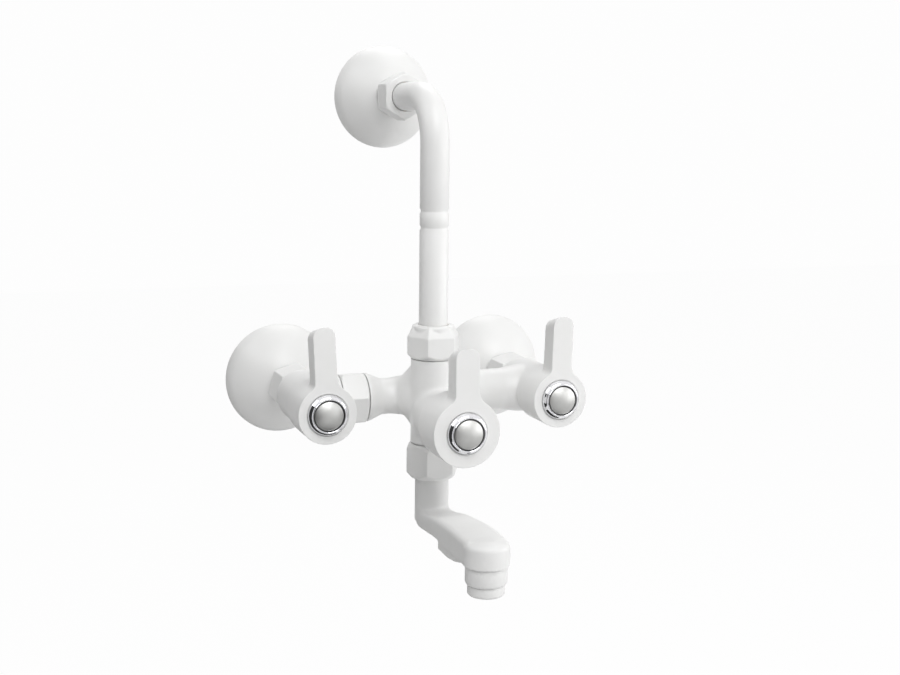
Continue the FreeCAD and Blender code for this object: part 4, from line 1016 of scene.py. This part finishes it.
def handle(side, start, front, cup, width, length, lean_degrees):
    """One handle: cup and lever cast as one, then grooved, hollowed for the valve's neck and bored for the
    spindle and the screw."""
    back = front - CUP_DEPTH
    outline = lever_outline(cup, width, length, lean_degrees)
    slant_above = length - LEVER_CORNER - SLANT_START
    shape = joined(
        f"{side}_handle_casting",
        rod("cup", cup, back, front, start, "out"),
        outlined("lever", outline, front, LEVER_DEPTH, start, slant_above, LEVER_SLANT))
    softened(shape, HANDLE_GRAIN, HANDLE_ROUNDS)
    groove_floor = front - RING_GROOVE_DEPTH
    groove_edge = RING_GROOVE_RADIUS + RING_GROOVE_WIDTH
    carved(shape, turned("ring_groove", [
        (RING_GROOVE_RADIUS, groove_floor), (groove_edge, groove_floor), (groove_edge, front + PAST),
        (RING_GROOVE_RADIUS, front + PAST)], start, "out"))
    face_back = front - CUP_FACE
    carved(shape, turned("hollow", [
        (HUB_RADIUS, back - PAST), (cup - CUP_WALL, back - PAST), (cup - CUP_WALL, face_back),
        (HUB_RADIUS, face_back)], start, "out"))
    hub_back = face_back - HUB_LENGTH
    floor_level = front - RECESS_DEPTH
    tip_end = floor_level - RECESS_FLOOR
    tip_start = tip_end - TIP_LENGTH
    carved(shape, turned_bar("hub_hole", [
        (STEM_ROOM, back - PAST), (STEM_ROOM, hub_back), (SPINDLE_HOLE, hub_back), (SPINDLE_HOLE, tip_start),
        (TIP_HOLE, tip_start), (TIP_HOLE, tip_end), (SCREW_HOLE, tip_end), (SCREW_HOLE, floor_level),
        (RECESS_RADIUS, floor_level), (RECESS_RADIUS, front + PAST)], start, "out"))
    done(shape, white_enamel, "white_enamel", f"{side}_handle_set", f"{side}_handle")


SIDE_FRONT = 122.4
SIDE_CUP = 17.9
SIDE_WIDTH = 13.6
SIDE_LENGTH = 52.2
CENTRE_FRONT = 164.4
CENTRE_CUP = 20.6
CENTRE_WIDTH = 14.8
CENTRE_LENGTH = 49.6
LEFT_LEAN = 2.5
RIGHT_LEAN = -1.5
UPRIGHT = 0.0
handle("left", left_start, SIDE_FRONT, SIDE_CUP, SIDE_WIDTH, SIDE_LENGTH, LEFT_LEAN)
handle("right", right_start, SIDE_FRONT, SIDE_CUP, SIDE_WIDTH, SIDE_LENGTH, RIGHT_LEAN)
handle("centre", centre_start, CENTRE_FRONT, CENTRE_CUP, CENTRE_WIDTH, CENTRE_LENGTH, UPRIGHT)


# Handle screws.
# Slotted steel screws that hold each handle on its spindle, under the cap.
STEEL = (0.60, 0.60, 0.62)
STEEL_DARK = (0.48, 0.48, 0.50)
STEEL_ROUGHNESS = (0.25, 0.45)
STEEL_GRAIN = 0.8
steel_screw, tree, skin, place = finish("steel_screw")
rolled = noise(tree, place, STEEL_GRAIN, 3.0)
tree.feed(skin["Base Color"], tinted(tree, rolled, STEEL, STEEL_DARK))
tree.feed(skin["Metallic"], 1.0)
tree.feed(skin["Roughness"], spread(rolled, STEEL_ROUGHNESS))
dress(steel_screw, "left_screw", "right_screw", "centre_screw")


# Rings and caps.
# A polished chromed ring snaps into the face of each handle and holds a satin chromed cap with a low dome,
# which hides the screw.
CHROME = (0.86, 0.86, 0.88)
CHROME_HAZE = (0.78, 0.78, 0.80)
CHROME_ROUGHNESS = (0.05, 0.10)
HAZE_SIZE = 4.0
chrome_ring, tree, skin, place = finish("chrome_ring")
haze = noise(tree, place, HAZE_SIZE)
tree.feed(skin["Base Color"], tinted(tree, haze, CHROME, CHROME_HAZE))
tree.feed(skin["Metallic"], 1.0)
tree.feed(skin["Roughness"], spread(haze, CHROME_ROUGHNESS))

SATIN = (0.50, 0.50, 0.49)
SATIN_DARK = (0.45, 0.45, 0.44)
SATIN_ROUGHNESS = (0.42, 0.50)
SATIN_TONE_SIZE = 3.0
BLAST_SIZE = 0.25
TURNING_PITCH = 0.5
TURNING_DEPTH = 0.006
satin_cap, tree, skin, place = finish("satin_cap")
across_face = tree.node("ShaderNodeVectorMath", {"operation": "MULTIPLY"}, {0: place, 1: (1, 0, 1)})
from_axis = None
for start in (left_start, right_start, centre_start):
    axis = (start.x, 0, start.z)
    distance = tree.node("ShaderNodeVectorMath", {"operation": "DISTANCE"}, {0: across_face, 1: axis}, 1)
    from_axis = distance if from_axis is None else from_axis.worked("MINIMUM", from_axis, distance)
turned_lines = waves(tree, from_axis, TURNING_PITCH)
blasted = noise(tree, place, BLAST_SIZE, 1.0)
tree.feed(skin["Base Color"], tinted(tree, noise(tree, place, SATIN_TONE_SIZE), SATIN, SATIN_DARK))
tree.feed(skin["Metallic"], 1.0)
tree.feed(skin["Roughness"], spread(blasted, SATIN_ROUGHNESS))
tree.feed(skin["Normal"], bump(tree, turned_lines, TURNING_DEPTH))

RING_HEIGHT = 3.8
RING_BORE = 9.35
RING_SLEEVE = 10.1
RING_RADIUS = 12.3
RING_EDGE = 0.12
# The ring's face from its outer edge to its bore: radius, and height counted from the ring's crest.
RING_FACE = [(RING_RADIUS, -3.2), (12.1, -2.7), (11.7, -2.0), (11.1, -1.3), (10.5, -0.8), (10.3, -1.1),
             (10.15, -1.0), (10.05, -0.4), (9.8, 0.0), (9.55, -0.2), (RING_BORE, -0.7)]
CAP_RADIUS = 8.75
CAP_SKIRT = 4.0
CAP_SHOULDER = 0.4
CAP_RISE = 2.2
CAP_SWELL = 16.5
CAP_POLE = 0.01
CAP_EDGE = 0.35
for side, start, front in (("left", left_start, SIDE_FRONT), ("right", right_start, SIDE_FRONT),
                           ("centre", centre_start, CENTRE_FRONT)):
    floor_level = front - RECESS_DEPTH
    top = front + RING_HEIGHT
    face = [(radius, top + height) for radius, height in RING_FACE]
    ring = turned(f"{side}_bezel_ring", [
        (RING_BORE, floor_level), (RING_SLEEVE, floor_level), (RING_SLEEVE, front), (RING_RADIUS, front),
        *face], start, "out")
    eased(ring, RING_EDGE)
    done(ring, chrome_ring, "chrome_ring", f"{side}_handle_set", f"{side}_bezel")
    shoulder = (CAP_RADIUS, top - CAP_SHOULDER)
    pole = (CAP_POLE, top + CAP_RISE)
    cap = turned_bar(f"{side}_cap_dome", [
        (CAP_RADIUS, top - CAP_SKIRT), shoulder, *arc(shoulder, pole, CAP_SWELL, 1, 10), pole], start, "out")
    eased(cap, CAP_EDGE)
    done(cap, satin_cap, "satin_cap", f"{side}_handle_set", f"{side}_cap")


# Stage: a pale floor, a white surround, soft lamps above, at both sides, behind and in front, and two black
# cards, at the left and below, that the polished rings show.
def matt(name, grey, roughness):
    """A plain material for the stage, and its nodes."""
    material, tree, skin = finish(name)[:3]
    tree.feed(skin["Base Color"], (grey, grey, grey, 1))
    tree.feed(skin["Roughness"], roughness)
    return material, tree


def seen(tree):
    """1 for a ray from the camera, and for one that polished metal or glass sends on."""
    camera, polished, clear = [tree.node("ShaderNodeLightPath", {}, {}, name) for name in
                               ("Is Camera Ray", "Is Glossy Ray", "Is Transmission Ray")]
    return camera.worked("MAXIMUM", camera.worked("MAXIMUM", camera, polished), clear)


FLOOR_LEVEL = -0.45
FLOOR_SIZE = 8.0
FLOOR_WHITE = 0.97
bpy.ops.object.select_all(action="DESELECT")
bpy.ops.mesh.primitive_plane_add(size=FLOOR_SIZE, location=(0, 0, FLOOR_LEVEL))
floor = bpy.context.object
floor.name = "floor"
pale_floor, tree = matt("pale_floor", grey=0.9, roughness=0.7)
nodes = pale_floor.node_tree.nodes
white = tree.node("ShaderNodeEmission", {}, {"Color": (1, 1, 1, 1), "Strength": 1.0})
mixed = tree.node("ShaderNodeMixShader", {}, {
    0: seen(tree) * FLOOR_WHITE, 1: Amount(tree, nodes["Principled BSDF"].outputs[0]), 2: white})
tree.feed(nodes["Material Output"].inputs["Surface"], mixed)
floor.data.materials.append(pale_floor)

# The surround lights the object with the first strength and is seen at the second.
SURROUND = 0.18
SEEN_WHITE = 0.985
world = bpy.data.worlds.new("white_surround")
bpy.context.scene.world = world
world.use_nodes = True
tree = Tree(world.node_tree)
background = world.node_tree.nodes["Background"].inputs
tree.feed(background["Color"], (1, 1, 1, 1))
tree.feed(background["Strength"], seen(tree) * (SEEN_WHITE - SURROUND) + SURROUND)

ON_THE_MIXER = Vector((0, -0.08, 0))


def lamp(name, place, size, watts):
    """A soft square lamp, its size in metres, that shines on the mixer."""
    bpy.ops.object.light_add(type="AREA", location=place)
    light = bpy.context.object
    light.name = name
    light.data.shape = "RECTANGLE"
    light.data.size = size
    light.data.size_y = size
    light.data.energy = watts
    light.rotation_euler = (ON_THE_MIXER - Vector(place)).to_track_quat("-Z", "Y").to_euler()


lamp("key_lamp", (0, -1.3, 1.4), 1.2, 21.2)
lamp("right_lamp", (1.6, -0.6, 0.3), 1.0, 8.8)
lamp("left_lamp", (-1.3, -0.2, 1.2), 1.0, 6.9)
lamp("rear_lamp", (0.3, 0.9, 1.4), 1.0, 6.9)
lamp("front_lamp", (1.3, -1.4, 0.3), 1.0, 4.6)

card_black, tree = matt("card_black", grey=0.02, roughness=0.9)


def black_card(name, place, turn, width, height):
    """A black card that only polished metal shows."""
    bpy.ops.object.select_all(action="DESELECT")
    bpy.ops.mesh.primitive_plane_add(size=1.0, location=place, rotation=turn)
    card = bpy.context.object
    card.name = name
    card.scale = (width, height, 1)
    card.data.materials.append(card_black)
    card.visible_camera = False
    card.visible_diffuse = False
    card.visible_shadow = False
    card.visible_transmission = False


black_card("left_card", (-0.5, 0.1, -0.08), (0, math.pi / 2, 0), 0.72, 2.2)
black_card("low_card", (-0.3, 0.4, -0.44), (0, 0, 0), 1.0, 1.6)

# Camera: its turn round the object, its rise and its roll, the point it looks at and how far off it stands.
AZIMUTH = math.radians(-20.44)
ELEVATION = math.radians(9.31)
ROLL = math.radians(0.67)
DISTANCE = 0.95404
LOOK_AT = Vector((0.04989, 0, 0.02137))
SENSOR = 36.0
LENS = 54.65
back = Vector((math.sin(AZIMUTH) * math.cos(ELEVATION), -math.cos(AZIMUTH) * math.cos(ELEVATION),
               math.sin(ELEVATION)))
right = Vector((math.cos(AZIMUTH), math.sin(AZIMUTH), 0))
up = back.cross(right)
turned_right = right * math.cos(ROLL) + up * math.sin(ROLL)
turned_up = up * math.cos(ROLL) - right * math.sin(ROLL)
bpy.ops.object.camera_add(location=LOOK_AT + back * DISTANCE)
camera = bpy.context.object
camera.rotation_euler = Matrix((turned_right, turned_up, back)).transposed().to_euler()
camera.data.sensor_width = SENSOR
camera.data.lens = LENS
bpy.context.scene.camera = camera
bpy.context.scene.view_settings.view_transform = "Standard"
